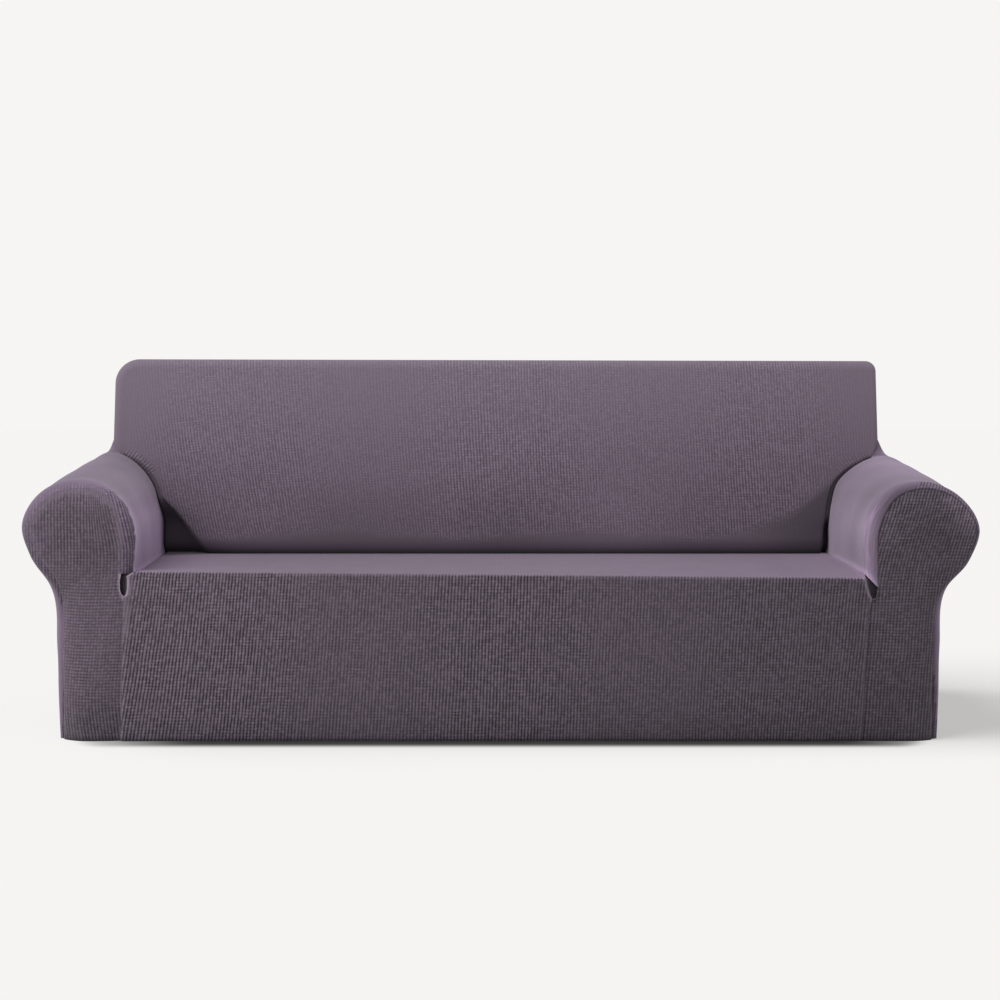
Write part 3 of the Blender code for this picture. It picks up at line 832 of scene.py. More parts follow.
def cloth_material(name, knits, colour, sheen):
    """A matt cloth. Its knits shade and raise it. Rows: group, relief in metres, and its map."""
    material = bpy.data.materials.new(name)
    material.use_nodes = True
    tree = material.node_tree
    shader = tree.nodes["Principled BSDF"]
    shader.inputs["Roughness"].default_value = CLOTH_ROUGHNESS
    shader.inputs["Specular IOR Level"].default_value = CLOTH_SPECULAR
    shader.inputs["Sheen Weight"].default_value = sheen
    shader.inputs["Sheen Roughness"].default_value = SHEEN_ROUGHNESS
    shade, height = point_value(tree, "tone"), 0.0
    for group, relief, uv_map in knits:
        places = tree.nodes.new("ShaderNodeUVMap")
        places.uv_map = uv_map
        knit = tree.nodes.new("ShaderNodeGroup")
        knit.node_tree = group
        tree.links.new(places.outputs["UV"], knit.inputs["Cloth"])
        if "Strength" in knit.inputs:
            tree.links.new(point_value(tree, "weave"), knit.inputs["Strength"])
            tree.links.new(point_value(tree, "bars"), knit.inputs["Bars"])
        else:
            tree.links.new(point_value(tree, "pleats"), knit.inputs["Pleats"])
        shade = maths(tree, "MULTIPLY", knit.outputs["Shade"], shade)
        height = maths(tree, "MULTIPLY_ADD", knit.outputs["Height"], relief, height)
    tree.links.new(scaled(tree, colour, shade), shader.inputs["Base Color"])
    bump = tree.nodes.new("ShaderNodeBump")
    bump.inputs["Distance"].default_value = 1.0
    tree.links.new(height, bump.inputs["Height"])
    tree.links.new(bump.outputs["Normal"], shader.inputs["Normal"])
    return material


# Colour and sheen of the smooth side, and the relief of both knits in metres.
SMOOTH = (0.190, 0.140, 0.203)
SMOOTH_SHEEN = 0.15
KNIT_RELIEF = 0.00008
CHECK_RELIEF = 0.0003
KNIT = knit_group()
SMALL_CHECK = jacquard_group()
ARM_KNITS = ((KNIT, KNIT_RELIEF, "cloth"), (SMALL_CHECK, CHECK_RELIEF, "front"))
ARM_CLOTH = cloth_material("arm_knit", ARM_KNITS, SMOOTH, SMOOTH_SHEEN)

# Painted light and shade along an arm's girth, from the seat crease over the roll to the hem. Rows:
# distance from the crease, and the tone of the cloth there.
GIRTH_PAINTED_LIGHT = {
    "left": (
        (0.0, 2.60), (0.09, 2.50), (0.14, 2.40), (0.165, 2.10), (0.19, 1.65), (0.21, 1.30), (0.24, 1.01),
        (0.28, 0.85), (0.32, 0.77), (0.38, 0.82), (0.42, 0.78), (0.50, 0.68), (0.60, 0.80), (0.72, 1.05),
        (0.85, 0.90), (1.05, 0.85),
    ),
    "right": (
        (0.0, 1.30), (0.11, 1.25), (0.15, 1.12), (0.19, 0.86), (0.24, 0.82), (0.275, 0.94), (0.32, 1.14),
        (0.37, 1.24), (0.42, 1.08), (0.60, 1.10), (0.71, 1.60), (0.85, 1.15), (1.05, 0.95),
    ),
}
# Where the jacquard of the arm front runs on over the arm's edge. Rows: distance from the crease,
# how far back it reaches there, and its tone. Then its uneven edge and how soft that is, and how
# strong its checks show, by distance from the crease.
JACQUARD_REACH = {
    "left": (
        (0.0, 0.037, 0.46), (0.09, 0.037, 0.48), (0.14, 0.037, 0.62), (0.19, 0.030, 0.70),
        (0.24, 0.012, 0.80), (0.32, 0.014, 0.74), (0.40, 0.012, 0.70), (0.46, 0.012, 0.52),
        (0.52, 0.022, 0.42), (0.62, 0.022, 0.42), (0.66, -0.006, 0.45),
        (0.80, -0.004, 0.45), (1.0, 0.006, 0.36),
    ),
    "right": (
        (0.0, -0.010, 0.40), (0.25, -0.010, 0.55), (0.31, 0.022, 0.60), (0.36, 0.034, 0.66),
        (0.42, 0.045, 0.62), (0.52, 0.045, 0.50), (0.60, 0.045, 0.38), (0.655, 0.006, 0.36),
        (0.68, -0.008, 0.36), (0.80, -0.006, 0.34), (0.90, 0.010, 0.33), (1.1, 0.014, 0.33),
    ),
}
RAGGED = ((0.0022, 0.0, 23.0, 0.2), (0.0016, 0.0, 41.0, 0.6), (0.0006, 0.0, 87.0, 0.1))
REACH_SOFT = 0.008
EDGE_CHECKS = {
    "left": ((0.17, 0.75), (0.24, 0.32), (0.42, 0.32), (0.52, 0.75)),
    "right": ((0.24, 0.75), (0.30, 0.60)),
}

# Creases on the arms, in distance from the front seam and from the seat crease. The relief fades
# towards the back, gives ridges painted light and troughs painted shade, and stays off the rows and
# columns next to a seam.
ARM_CREASES = {
    "left": (
        (0.0016, 0.004, ((0.041, 0.02), (0.040, 0.13), (0.034, 0.20), (0.030, 0.27), (0.036, 0.34))),
        (-0.0010, 0.004, ((0.052, 0.03), (0.050, 0.14), (0.046, 0.20))),
        (-0.0012, 0.006, ((0.11, 0.02), (0.10, 0.10))),
        (0.0012, 0.010, ((0.30, 0.05), (0.33, 0.17))),
    ),
    "right": (
        (0.0010, 0.002, ((0.003, 0.01), (0.003, 0.16), (0.003, 0.26), (0.003, 0.36))),
        (-0.0016, 0.004, ((0.018, 0.00), (0.017, 0.14))),
        (0.0014, 0.004, ((0.029, 0.01), (0.027, 0.15), (0.024, 0.19))),
        (-0.0014, 0.005, ((0.042, 0.01), (0.044, 0.12))),
        (0.0010, 0.010, ((0.26, 0.04), (0.24, 0.18))),
    ),
}
ARM_WAVES = ((0.0008, 1.7, 0.9, 0.1), (0.0006, 4.1, 1.3, 0.6), (0.0005, 0.8, 6.2, 0.3))
RELIEF_FADE = 0.14
RELIEF_PAINTED_SHADE = 80.0
CLOSED_ROWS = 3

# Painted shade behind the front seam, where the round edge faces the lamp: tone, and the depth over
# which it ends. Painted light along the seat crease, against its shade. Pleats behind the seam: to
# what depth and girth, and over what. A dark line on the seam, its width, and the girths where it
# begins and ends. Past the back the crest is darker.
FRONT_SEAM_PAINTED_SHADE = {"left": (0.78, 0.0, 0.034), "right": (0.50, 0.0, 0.034)}
CREASE_PAINTED_LIGHT = {"left": 0.9, "right": 1.0}
CREASE_LIGHT_WIDTH = 0.010
PLEATS = {"left": 0.6, "right": 1.0}
PLEAT_DEPTH = (0.056, 0.020)
PLEAT_GIRTH = (0.25, 0.06)
SEAM_LINE = {"left": 0.0, "right": 0.62}
SEAM_LINE_WIDTH = 0.0015
SEAM_LINE_BEGINS = 0.03
SEAM_LINE_ENDS = (0.40, 0.05)
END_TONE = 0.58
END_TONE_GIRTH = (0.33, 0.10)

# How far the lower edge of each arm is drawn up along the seat, by depth, and how far its front
# corner hangs over the notch.
CREASE_LIFT = {
    "left": ((0.0, 0.009), (0.05, 0.009), (0.11, 0.0)),
    "right": ((0.0, 0.007), (0.50, 0.007), (0.56, 0.0)),
}
CORNER_FLAP = {"left": 0.0, "right": 0.031}
LIFT_ROWS = 2 * FINE

# Ribs of the arm fronts, from the hem up. Rows: height, and how far a rib's top leans to the right,
# in degrees. The lean is added up over close heights.
FRONT_LEANS = {
    "left": ((0.0, -9.0), (0.07, -5.0), (0.13, 5.9), (0.38, 5.9), (0.46, 0.0), (0.66, 0.0)),
    "right": ((0.0, 4.0), (0.36, 4.8), (0.46, 16.0), (0.66, 16.0)),
}
LEAN_HEIGHTS = np.linspace(-0.1, 1.2, 261)

# Above the foot of the roll the ribs bend to the left too: how far, from what X and over what
# width. The bend sets in over a height.
FRONT_BENDS = {"left": (0.28, -0.99, 0.06), "right": (0.0, 0.90, 0.06)}
ROLL_FOOT = 0.45
BEND_SOFT = 0.05


def front_places(side, x, z):
    """Place on the arm front's cloth: X less the ribs' lean added up from the hem, and height."""
    slopes = np.tan(np.radians(stations(LEAN_HEIGHTS, FRONT_LEANS[side])))
    shift = np.cumsum(slopes) * (LEAN_HEIGHTS[1] - LEAN_HEIGHTS[0])
    bend, start, width = FRONT_BENDS[side]
    climb = np.maximum(z - ROLL_FOOT, 0.0)
    aside = bend * after(x, start, width) * climb**2 / (climb + BEND_SOFT)
    return x - np.interp(z, LEAN_HEIGHTS, shift) + aside, z


def within(value, limit, run, share=0.5):
    """1 within the limit and 0 beyond it, falling over a run. A share of it lies beyond."""
    return ease((limit - value) / run + share)


def from_tone(value, tone, start, run):
    """A tone up to the start, which passes softly into 1 over a run."""
    return lerp(tone, 1.0, after(value, start, run))


def free_of_edges(grid, margin):
    """0 on a grid's edges and 1 beyond a number of rows and columns, so that seams stay closed."""
    rows, columns, _ = grid.shape
    row = np.minimum(np.arange(rows), np.arange(rows)[::-1])
    column = np.minimum(np.arange(columns), np.arange(columns)[::-1])
    return ease(row / margin)[:, None] * ease(column / margin)[None]


def free_hem(grid, margin):
    """As free_of_edges, but 1 along the first row too, because a hem hangs free."""
    return free_of_edges(np.concatenate([grid[::-1], grid]), margin)[len(grid) :]


def pushed(grid, height, turned):
    """The grid with each point moved outwards by its height, along the surface's normal."""
    sign = -1.0 if turned else 1.0
    return grid + normals_of(grid) * (sign * height)[..., None]


def laid_out(outline, distance):
    """X and Z that points would reach, laid out flat: the outline plus distance times its normal."""
    out = -inward(outline)
    return outline[:, :1] + out[:, :1] * distance, outline[:, 1:] + out[:, 1:] * distance


def drawn_up(side, along):
    """Draws the arm's lower edge up along the seat, and lets its front corner down."""
    lift = stations(lengths(along[:1], 1)[0], CREASE_LIFT[side])
    lift[: EDGE_STEPS + 1] -= CORNER_FLAP[side] * (1 - np.sin(ARM_TURNS))
    fade = (1 - np.arange(LIFT_ROWS) / LIFT_ROWS) ** 2
    along[:LIFT_ROWS, :, 2] += fade[:, None] * lift


plain = {side: arm(side, band) for side in ARM_LINES}
for side, (along, _) in plain.items():
    drawn_up(side, along)
arms = {side: [mirrored(grid, side) for grid in plain[side]] for side in plain}
for side, (along, past) in arms.items():
    girth = lengths(along, 0)
    depth = lengths(along, 1)
    girth_past = lengths(past, 0) + girth[CREST, -1]
    depth_past = lengths(past, 1) + depth[CREST:, -1:]
    turned = side == "right"
    relief = creases(depth, girth, ARM_CREASES[side]) + waves(depth, girth, ARM_WAVES)
    relief *= before(depth, depth[:, -1:], RELIEF_FADE)
    shaped = pushed(along, relief * free_of_edges(along, CLOSED_ROWS), turned)
    places, reach, jacquard_tone = zip(*JACQUARD_REACH[side])
    edge = np.interp(girth, places, reach) + waves(depth, girth, RAGGED)
    jacquard = within(depth, edge, REACH_SOFT)
    checks = jacquard * stations(girth, EDGE_CHECKS[side])
    # The tone holds painted light and shade by girth, behind the seam, along the crease and on creases.
    tone = stations(girth, GIRTH_PAINTED_LIGHT[side]) * from_tone(depth, *FRONT_SEAM_PAINTED_SHADE[side])
    tone *= (1 + CREASE_PAINTED_LIGHT[side] * bell(girth, CREASE_LIGHT_WIDTH)) * (1 + RELIEF_PAINTED_SHADE * relief)
    pleats = PLEATS[side] * before(depth, *PLEAT_DEPTH) * before(girth, *PLEAT_GIRTH)
    tone = lerp(tone, np.interp(girth, places, jacquard_tone), jacquard)
    seam_line = bell(depth, SEAM_LINE_WIDTH) * ease(girth / SEAM_LINE_BEGINS)
    tone *= 1 - SEAM_LINE[side] * seam_line * before(girth, *SEAM_LINE_ENDS)
    end_tone = stations(girth_past, GIRTH_PAINTED_LIGHT[side])
    end_tone = lerp(END_TONE, end_tone, after(girth_past, *END_TONE_GIRTH))
    front_x, front_z = laid_out(plain[side][0][:, 0][:, [0, 2]], depth)
    front = front_places(side, front_x if turned else -front_x, front_z)
    cloth, cloth_past = (depth, girth), (depth_past, girth_past)
    layers = [
        layer(shaped, turned, cloth, checks, tone, pleats=pleats, front=front),
        layer(past, turned, cloth_past, 0.0, end_tone, front=cloth_past),
    ]
    dress("arm_" + side, layers, ARM_CLOTH)

# ---------------------------------------------------------------- inside back
# The front of the back is small-check jacquard, stretched flat between the arms. It tucks into the
# seat in a wavy dark fold, and stands off each arm in a pocket that narrows upwards.

# Profile of a pocket from the seam to its lip, as place and share of its depth, and how many
# columns it takes to run out.
POCKET_SHAPE = ((0.0, 1.0), (0.60, 0.96), (0.80, 0.84), (0.90, 0.50), (1.0, 0.12))
LIP_COLUMNS = 8

# The pocket is darkened with painted shade, and its checks don't show. Its rim: width, and the share
# that lies beyond.
POCKET_PAINTED_SHADE = 0.28
POCKET_CALM = 0.9
POCKET_RIM = (0.008, 0.3)
POCKET_GROWS = 4

# The seam with the arm: a line of painted shade and its width, and where it starts and is full, from
# the crest down. It ends over a height above the crest, in a pucker darkened with painted shade.
BACK_SEAM_PAINTED_SHADE = 0.86
SEAM_SHADE_WIDTH = 0.0055
SEAM_DARKENS = {"left": (0.02, 0.08), "right": (-0.03, 0.04)}
ABOVE_CREST = 0.01
PUCKER_ROW = -4
PUCKER_PAINTED_SHADE = 0.45
PUCKER_WIDTH = 0.006

# Gathers beside the seam, near the crest: their width and length, each with its soft edge, how
# strong their checks are, how sharply they take over from the ribs, and how calm the cloth is there.
GATHER_WIDTH = (0.032, 0.018)
GATHER_END = {"left": (0.145, 0.04), "right": (0.125, 0.04)}
GATHER_WEAVE = {"left": 0.55, "right": 0.34}
GATHER_TURN = 0.25
GATHER_CALM = 0.95

# Ribs of the back. Rows: X, and how far a rib's top leans to the right, at the seat and the top.
BACK_LEANS = ((-1.0, -16.0, -5.0), (-0.75, -14.0, -4.0), (0.0, -4.0, -1.5), (0.9, -4.0, -2.0))

# How the cloth of the back shows, across and up: towards the top it is lighter, partly as stretched
# cloth and partly as painted light, and its checks are soft there and in broad upright bands.
BACK_TONE_UP = ((0.40, 1.05), (0.50, 1.18), (0.66, 1.33), (0.85, 1.52), (0.92, 1.58))
# Painted shades low on the back, some darker and some lighter: depth, X and width. They end at a
# height, over another.
BACK_PAINTED_SHADES = ((-0.10, -0.66, 0.12), (0.10, -0.36, 0.20), (0.12, 0.0, 0.12), (-0.12, 0.32, 0.12))
PAINTED_SHADES_TOP = (0.62, 0.12)
BACK_TONE_ACROSS = ((-1.0, 1.04), (-0.6, 1.0), (0.3, 1.02), (0.6, 0.98), (1.0, 0.98))
BACK_WEAVE_UP = ((0.40, 1.0), (0.66, 1.0), (0.80, 0.66), (0.92, 0.60))
BACK_WEAVE_ACROSS = (
    (-1.03, 0.05), (-0.94, 0.16), (-0.84, 0.46), (-0.62, 0.50), (-0.40, 0.24), (-0.28, 0.26),
    (-0.10, 0.55), (0.10, 0.60), (0.30, 0.36), (0.48, 0.36), (0.66, 0.62), (0.80, 0.55), (0.88, 0.30),
    (0.95, 0.14), (1.0, 0.06),
)

# The foot of the back: its painted light and shade by height, and the painted shade and checks of its
# smooth band, each with the height where it ends, and over what height. The band's upper edge is wavy.
BACK_FOOT_PAINTED_LIGHT = (
    (0.39, 0.62), (0.403, 0.74), (0.409, 1.16), (0.416, 1.45), (0.424, 1.40), (0.432, 1.20), (0.440, 1.03),
    (0.450, 1.0),
)
FOOT_BAND_PAINTED_SHADE = (0.86, 0.440, 0.016)
FOOT_CALM = (0.15, 0.435, 0.030)
FOOT_WAVES = ((0.0080, 1.5, 0.0, 0.18), (0.0025, 4.7, 0.0, 0.4), (0.0015, 11.0, 0.0, 0.3))

# Under a height the back is darkened by a painted soft shadow of the right arm. Rows: X and height.
# Then its upper edge as for a pocket, where it begins by X, its depth there and at the arm, and how
# that grows.
BACK_PAINTED_SHADOW = ((0.50, 0.425), (0.536, 0.443), (0.644, 0.462), (0.778, 0.510), (0.872, 0.582), (0.93, 0.60))
SHADOW_RIM = (0.036, 0.4)
SHADOW_BEGINS = (0.48, 0.12)
SHADOW_DEPTH = (0.05, 0.42)
SHADOW_GROWS = (0.60, 0.25)
SHADOW_CALM = 0.8

# Painted light on the right end of the back, whose round edge turns from the lamp: by how much, from
# what X, and over what width.
END_PAINTED_LIGHT = 0.30
END_LIT = (0.98, 0.03)

# Colour and sheen of the jacquard.
JACQUARD = (0.095, 0.0738, 0.0970)
JACQUARD_SHEEN = 0.12


def rib_fan(x, z, leans):
    """U of ribs that lean by one angle at the seat and by another at the top, and turn evenly."""
    places, at_seat, at_top = zip(*leans)
    low, high = (np.tan(np.radians(np.interp(x, places, angles))) for angles in (at_seat, at_top))
    climb = z - SEAT_TOP
    return x - low * climb - (high - low) * climb**2 / (2 * (BACK_TOP - SEAT_TOP))


def patch(bottom, top, left, right):
    """A surface that fills four edges: lofts between the facing edges, less the corners' loft."""
    across = np.linspace(0, 1, len(bottom))[None, :, None]
    up = np.linspace(0, 1, len(left))[:, None, None]
    by_rows = lerp(left[:, None], right[:, None], across)
    by_columns = lerp(bottom[None], top[None], up)
    by_corners = lerp(lerp(bottom[0], bottom[-1], across), lerp(top[0], top[-1], across), up)
    return by_rows + by_columns - by_corners


def edges_of(left_seam, right_seam, outline):
    """Left, right and top edge: each seam goes on round the outline to the middle of its corner."""
    row = END_SIDE_STEPS + CORNER_STEPS // 2
    left = np.vstack([left_seam, outline[1 : row + 1]])
    right = np.vstack([right_seam, outline[::-1][1 : row + 1]])
    return left, right, outline[row : len(outline) - row]


def back_face(seams, band):
    """Front of the back, from the seat crease to the top. Columns run from arm to arm.

    The outer strips reach from the seam over the pocket to its lip, and the middle fills the rest.
    """
    strip = CORNER_STEPS // 2
    left, right, top = edges_of(seams["left"], seams["right"], band[:, 0])
    lips = {}
    ends = (("left", left, 1, top[strip]), ("right", right, -1, top[-1 - strip]))
    for side, edge, sign, top_end in ends:
        lip = edge.copy()
        lip[: CREST + 1, 0] += sign * pocket_width(side, edge[: CREST + 1, 2])
        rise = np.linspace(0, 1, len(edge) - CREST)[:, None]
        lip[CREST:] = lerp(lip[CREST], top_end, rise)
        lips[side] = lip
    share = np.linspace(0, 1, strip + 1)[:, None]
    left_foot = lerp(left[0], lips["left"][0], share)
    right_foot = lerp(lips["right"][0], right[0], share)
    across = np.linspace(0, 1, COLUMNS - 2 * strip + 1)[:, None]
    middle_foot = lerp(lips["left"][0], lips["right"][0], across)
    left_strip = patch(left_foot, top[: strip + 1], left, lips["left"])
    right_strip = patch(right_foot, top[-1 - strip :], lips["right"], right)
    middle = patch(middle_foot, top[strip : len(top) - strip], lips["left"], lips["right"])
    grid = np.concatenate([left_strip[:, :-1], middle, right_strip[:, 1:]], axis=1)
    grid[..., 1] = face_depth(grid[..., 0], grid[..., 2])
    column = np.arange(grid.shape[1])
    for side, place in (("left", column), ("right", column[::-1])):
        away = place / strip
        turns, shares = zip(*POCKET_SHAPE)
        beyond = POCKET_SHAPE[-1][1] * sag(place - strip, LIP_COLUMNS)
        profile = np.where(away <= 1, np.interp(away, turns, shares), beyond)
        grid[..., 1] += profile * pocket_depth(side, grid[..., 2])
    grid[:, 0] = left
    grid[:, -1] = right
    grid[-1] = top
    return grid


def back_finish(x, z):
    """Tone and weave of the back at a place. The tone is partly painted light and shade."""
    tone = stations(z, BACK_TONE_UP) * stations(x, BACK_TONE_ACROSS)
    low = before(z, *PAINTED_SHADES_TOP)
    for depth, middle, width in BACK_PAINTED_SHADES:
        tone = tone * (1 - depth * low * bell(x - middle, width))
    return tone, stations(z, BACK_WEAVE_UP) * stations(x, BACK_WEAVE_ACROSS)


seams = {side: arms[side][0][: CREST + 1, -1] for side in arms}
face = back_face(seams, band)
face_x, face_z = face[..., 0], face[..., 2]
face_u = rib_fan(face_x, face_z, BACK_LEANS)
face_tone, face_weave = back_finish(face_x, face_z)
for side in seams:
    line = seams[side][:, [0, 2]]
    away, place = beside_line(face_x, face_z, line)
    from_crest = lengths(seams[side][None], 1)[0, -1] - place
    sign = 1.0 if side == "left" else -1.0
    above = within(face_z, CREST_HEIGHT[side], ABOVE_CREST, 1.0)
    reach = within(away, *GATHER_WIDTH) * within(from_crest, *GATHER_END[side])
    gathered = within(0.5, reach, GATHER_TURN)
    crest_u = rib_fan(*line[-1], BACK_LEANS)
    face_u = lerp(face_u, crest_u + sign * from_crest, gathered)
    face_weave = lerp(face_weave, GATHER_WEAVE[side], gathered * above)
    face_weave *= 1 - GATHER_CALM * 4 * reach * (1 - reach)
    # Painted shade along the seam, in the pucker and in the pocket.
    grows = after(from_crest, *SEAM_DARKENS[side]) * above
    face_tone *= 1 - BACK_SEAM_PAINTED_SHADE * bell(away, SEAM_SHADE_WIDTH) * grows
    pucker = np.hypot(face_x - line[PUCKER_ROW, 0], face_z - line[PUCKER_ROW, 1])
    face_tone *= 1 - PUCKER_PAINTED_SHADE * bell(pucker, PUCKER_WIDTH)
    inside_pocket = within(away, pocket_width(side, face_z), *POCKET_RIM)
    inside_pocket *= ease(POCKET_GROWS * pocket_opening(side, face_z))
    face_tone *= 1 - POCKET_PAINTED_SHADE * inside_pocket
    face_weave *= 1 - POCKET_CALM * inside_pocket
# Painted shadow of the right arm low on the back, and painted light and shade at the back's foot.
painted_shadow = within(face_z, stations(face_x, BACK_PAINTED_SHADOW), *SHADOW_RIM)
painted_shadow *= after(face_x, *SHADOW_BEGINS)
foot_line = face_z + waves(face_x, face_z, FOOT_WAVES)
painted_arm_shadow = 1 - painted_shadow * lerp(*SHADOW_DEPTH, after(face_x, *SHADOW_GROWS))
face_tone *= stations(face_z, BACK_FOOT_PAINTED_LIGHT) * np.minimum(from_tone(foot_line, *FOOT_BAND_PAINTED_SHADE), painted_arm_shadow)
face_weave *= from_tone(foot_line, *FOOT_CALM) * (1 - SHADOW_CALM * painted_shadow)
band_x, band_z = band[:, :1, 0], band[:, :1, 2]
band_tone, band_weave = back_finish(band_x, band_z)
band_tone = band_tone * (1 + END_PAINTED_LIGHT * after(band_x, *END_LIT))
band_places = laid_out(band[:, 0][:, [0, 2]], lengths(band, 1))
JACQUARD_KNITS = ((SMALL_CHECK, CHECK_RELIEF, "cloth"),)
JACQUARD_CLOTH = cloth_material("small_check_jacquard", JACQUARD_KNITS, JACQUARD, JACQUARD_SHEEN)
layers = [
    layer(face, False, (face_u, lengths(face, 0)), face_weave, face_tone),
    layer(band, True, (rib_fan(*band_places, BACK_LEANS), band_places[1]), band_weave, band_tone),
]
dress("inside_back", layers, JACQUARD_CLOTH)

# ---------------------------------------------------------------- outside back
# The rear is one plain panel of the same jacquard, from the top of the back down to the hem. It
# hangs flat from its seams, with soft upright folds in its lower half.


def outside_back(arms, band):
    """The flat rear panel, inside the rounded rear edges of the arms and of the back."""
    rear_seams = [arms[side][1][::-1, -1] for side in ("left", "right")]
    left, right, top = edges_of(*rear_seams, band[:, -1])
    hem = lerp(left[0], right[0], np.linspace(0, 1, COLUMNS + 1)[:, None])
    return patch(hem, top, left, right)


# Folds of the rear, and the height where they end, and over what height. The panel is set in a
# little, and over some rows and columns its edges close. Its checks and tone are even.
REAR_WAVES = ((0.0022, 3.1, 0.5, 0.1), (0.0014, 5.3, -0.8, 0.5), (0.0008, 9.7, 0.9, 0.8))
REAR_FOLD_TOP = (0.62, 0.45)
REAR_SET_IN = 0.0025
REAR_MARGIN = 12
REAR_WEAVE = 0.55
REAR_TONE = 1.1

rear = outside_back(arms, band)
rear_x, rear_z = rear[..., 0], rear[..., 2]
rear_relief = waves(rear_x, rear_z, REAR_WAVES) * before(rear_z, *REAR_FOLD_TOP)
rear = pushed(rear, (rear_relief - REAR_SET_IN) * free_hem(rear, REAR_MARGIN), True)
layers = [layer(rear, True, (rear[..., 0], rear[..., 2]), REAR_WEAVE, REAR_TONE)]
dress("outside_back", layers, JACQUARD_CLOTH)

# ---------------------------------------------------------------- seat
# The seat is one flat panel of the smoother side of the knit. It dips into the creases along the
# arms and the back, and its front turns over a soft edge to the seam with the skirt.

# Depth of the skirt's face, how far its seams dip, and the radius of the seat's front edge. Widths:
# the slope of the seat's front, and its creases. Near each arm the points are closer together, and
# on the way from the seat's corner to the arm's edge they lie at these shares.
FRONT = -0.440
SEAM_DIP = 0.002
SKIRT_EDGE = 0.008
SLOPE_RUN = 0.2175
SIDE_CREASE = 0.014
BACK_CREASE = 0.030
NEAR_ARM = 0.035
NEAR_COLUMNS = 12
SEAT_NOSE = (0.0, 0.04, 0.08, 0.13, 0.19, 0.27, 0.4, 0.6, 0.8)

# Seam between the skirt and each arm front, from the hem up to an open notch, then the notch's two
# edges, and the corner of the seat. Rows: distance from the middle, and height.
SKIRT_SEAMS = {
    "left": ((0.906, 0.0), (0.8965, 0.3465)),
    "right": ((0.864, 0.0), (0.8785, 0.310), (0.887, 0.340)),
}
SKIRT_LIPS = {
    "left": ((0.8905, 0.353), (0.8882, 0.366), (0.8878, 0.385), (0.889, 0.396)),
    "right": ((0.8815, 0.352), (0.876, 0.370)),
}
FRONT_LIPS = {
    "left": ((0.903, 0.352), (0.9063, 0.364), (0.9065, 0.384)),
    "right": ((0.896, 0.339), (0.8985, 0.350)),
}
SEAT_CORNERS = {"left": (0.874, 0.407), "right": (0.872, 0.391)}

# How deep the crease at the right arm is, as a share of the left one.
SOFT_CREASE = 0.15
BEVEL = SKIRT_EDGE * (1 - np.sqrt(0.5))


def nose(distance):
    """Drop of a quarter round of the skirt edge's radius, at a distance behind its face."""
    short = np.clip(SKIRT_EDGE - distance, 0, SKIRT_EDGE)
    return SKIRT_EDGE - np.sqrt(SKIRT_EDGE**2 - short**2)


def spread(start, end):
    """Points from start to end, closer together near each end than between."""
    length = np.linalg.norm(end - start)
    close = np.linspace(0, NEAR_ARM, NEAR_COLUMNS + 1)[:-1]
    even = np.linspace(NEAR_ARM, length - NEAR_ARM, COLUMNS - 2 * NEAR_COLUMNS + 1)
    along = np.concatenate([close, even, (length - close)[::-1]])
    return lerp(start, end, (along / length)[:, None])


def seat(front_edge, arms, crease):
    """The flat seat, as a patch between its four edges with its heights set by formula.

    It dips into the creases along the left arm and the back, and hardly beside the right arm.
    """
    sides = {}
    for side, corner in (("left", front_edge[0]), ("right", front_edge[-1])):
        edge = arms[side][0][0, EDGE_STEPS:]
        sides[side] = np.vstack([lerp(corner, edge[0], np.array(SEAT_NOSE)[:, None]), edge])
    grid = patch(front_edge, crease, sides["left"], sides["right"])
    behind = grid[..., 1] - FRONT
    level = lerp(SEAT_CORNERS["left"][1], SEAT_CORNERS["right"][1], np.linspace(0, 1, COLUMNS + 1))
    height = SEAT_TOP + ease(1 - behind / SLOPE_RUN) * (level - SEAT_TOP) - nose(behind)
    from_left = grid[..., 0] - grid[:, :1, 0]
    from_right = grid[:, -1:, 0] - grid[..., 0]
    from_back = grid[-1:, :, 1] - grid[..., 1]
    dips = np.maximum(sag(from_left, SIDE_CREASE), SOFT_CREASE * sag(from_right, SIDE_CREASE))
    dips = np.maximum(dips, sag(from_back, BACK_CREASE))
    sunk = grid[..., 2].copy()
    sunk[:, 1:-1] = lerp(height, CREASE, dips)[:, 1:-1]
    sunk[-1] = grid[-1, :, 2]
    sunk[0] = grid[0, :, 2]
    grid[..., 2] = sunk
    return grid


def seat_corner(side):
    """The middle of the rounded edge at a front corner of the seat."""
    at_seat, seat_height = SEAT_CORNERS[side]
    sign = -1.0 if side == "left" else 1.0
    return np.array([sign * at_seat, FRONT + BEVEL, seat_height - BEVEL])


front_edge = spread(seat_corner("left"), seat_corner("right"))
seat_grid = seat(front_edge, arms, face[0])
SEAT_WEAVE = ((-0.9, 0.34), (-0.7, 0.24), (-0.45, 0.07), (0.5, 0.07), (0.7, 0.26), (0.9, 0.30))
SEAT_COLOUR = (0.186, 0.130, 0.198)

# Painted light of the seat across, and where the foot of the back casts a painted shadow on it. Rows:
# X, and tone or depth.
SEAT_PAINTED_LIGHT = (
    (-0.90, 0.94), (-0.81, 0.82), (-0.63, 0.68), (-0.43, 0.64), (-0.20, 0.68), (0.0, 0.72), (0.38, 0.75),
    (0.71, 0.73), (0.84, 0.86), (0.90, 1.0),
)
SEAT_PAINTED_SHADOW = ((-0.92, 0.090), (-0.80, 0.130), (-0.72, 0.150), (-0.60, 0.172), (1.0, 0.180))
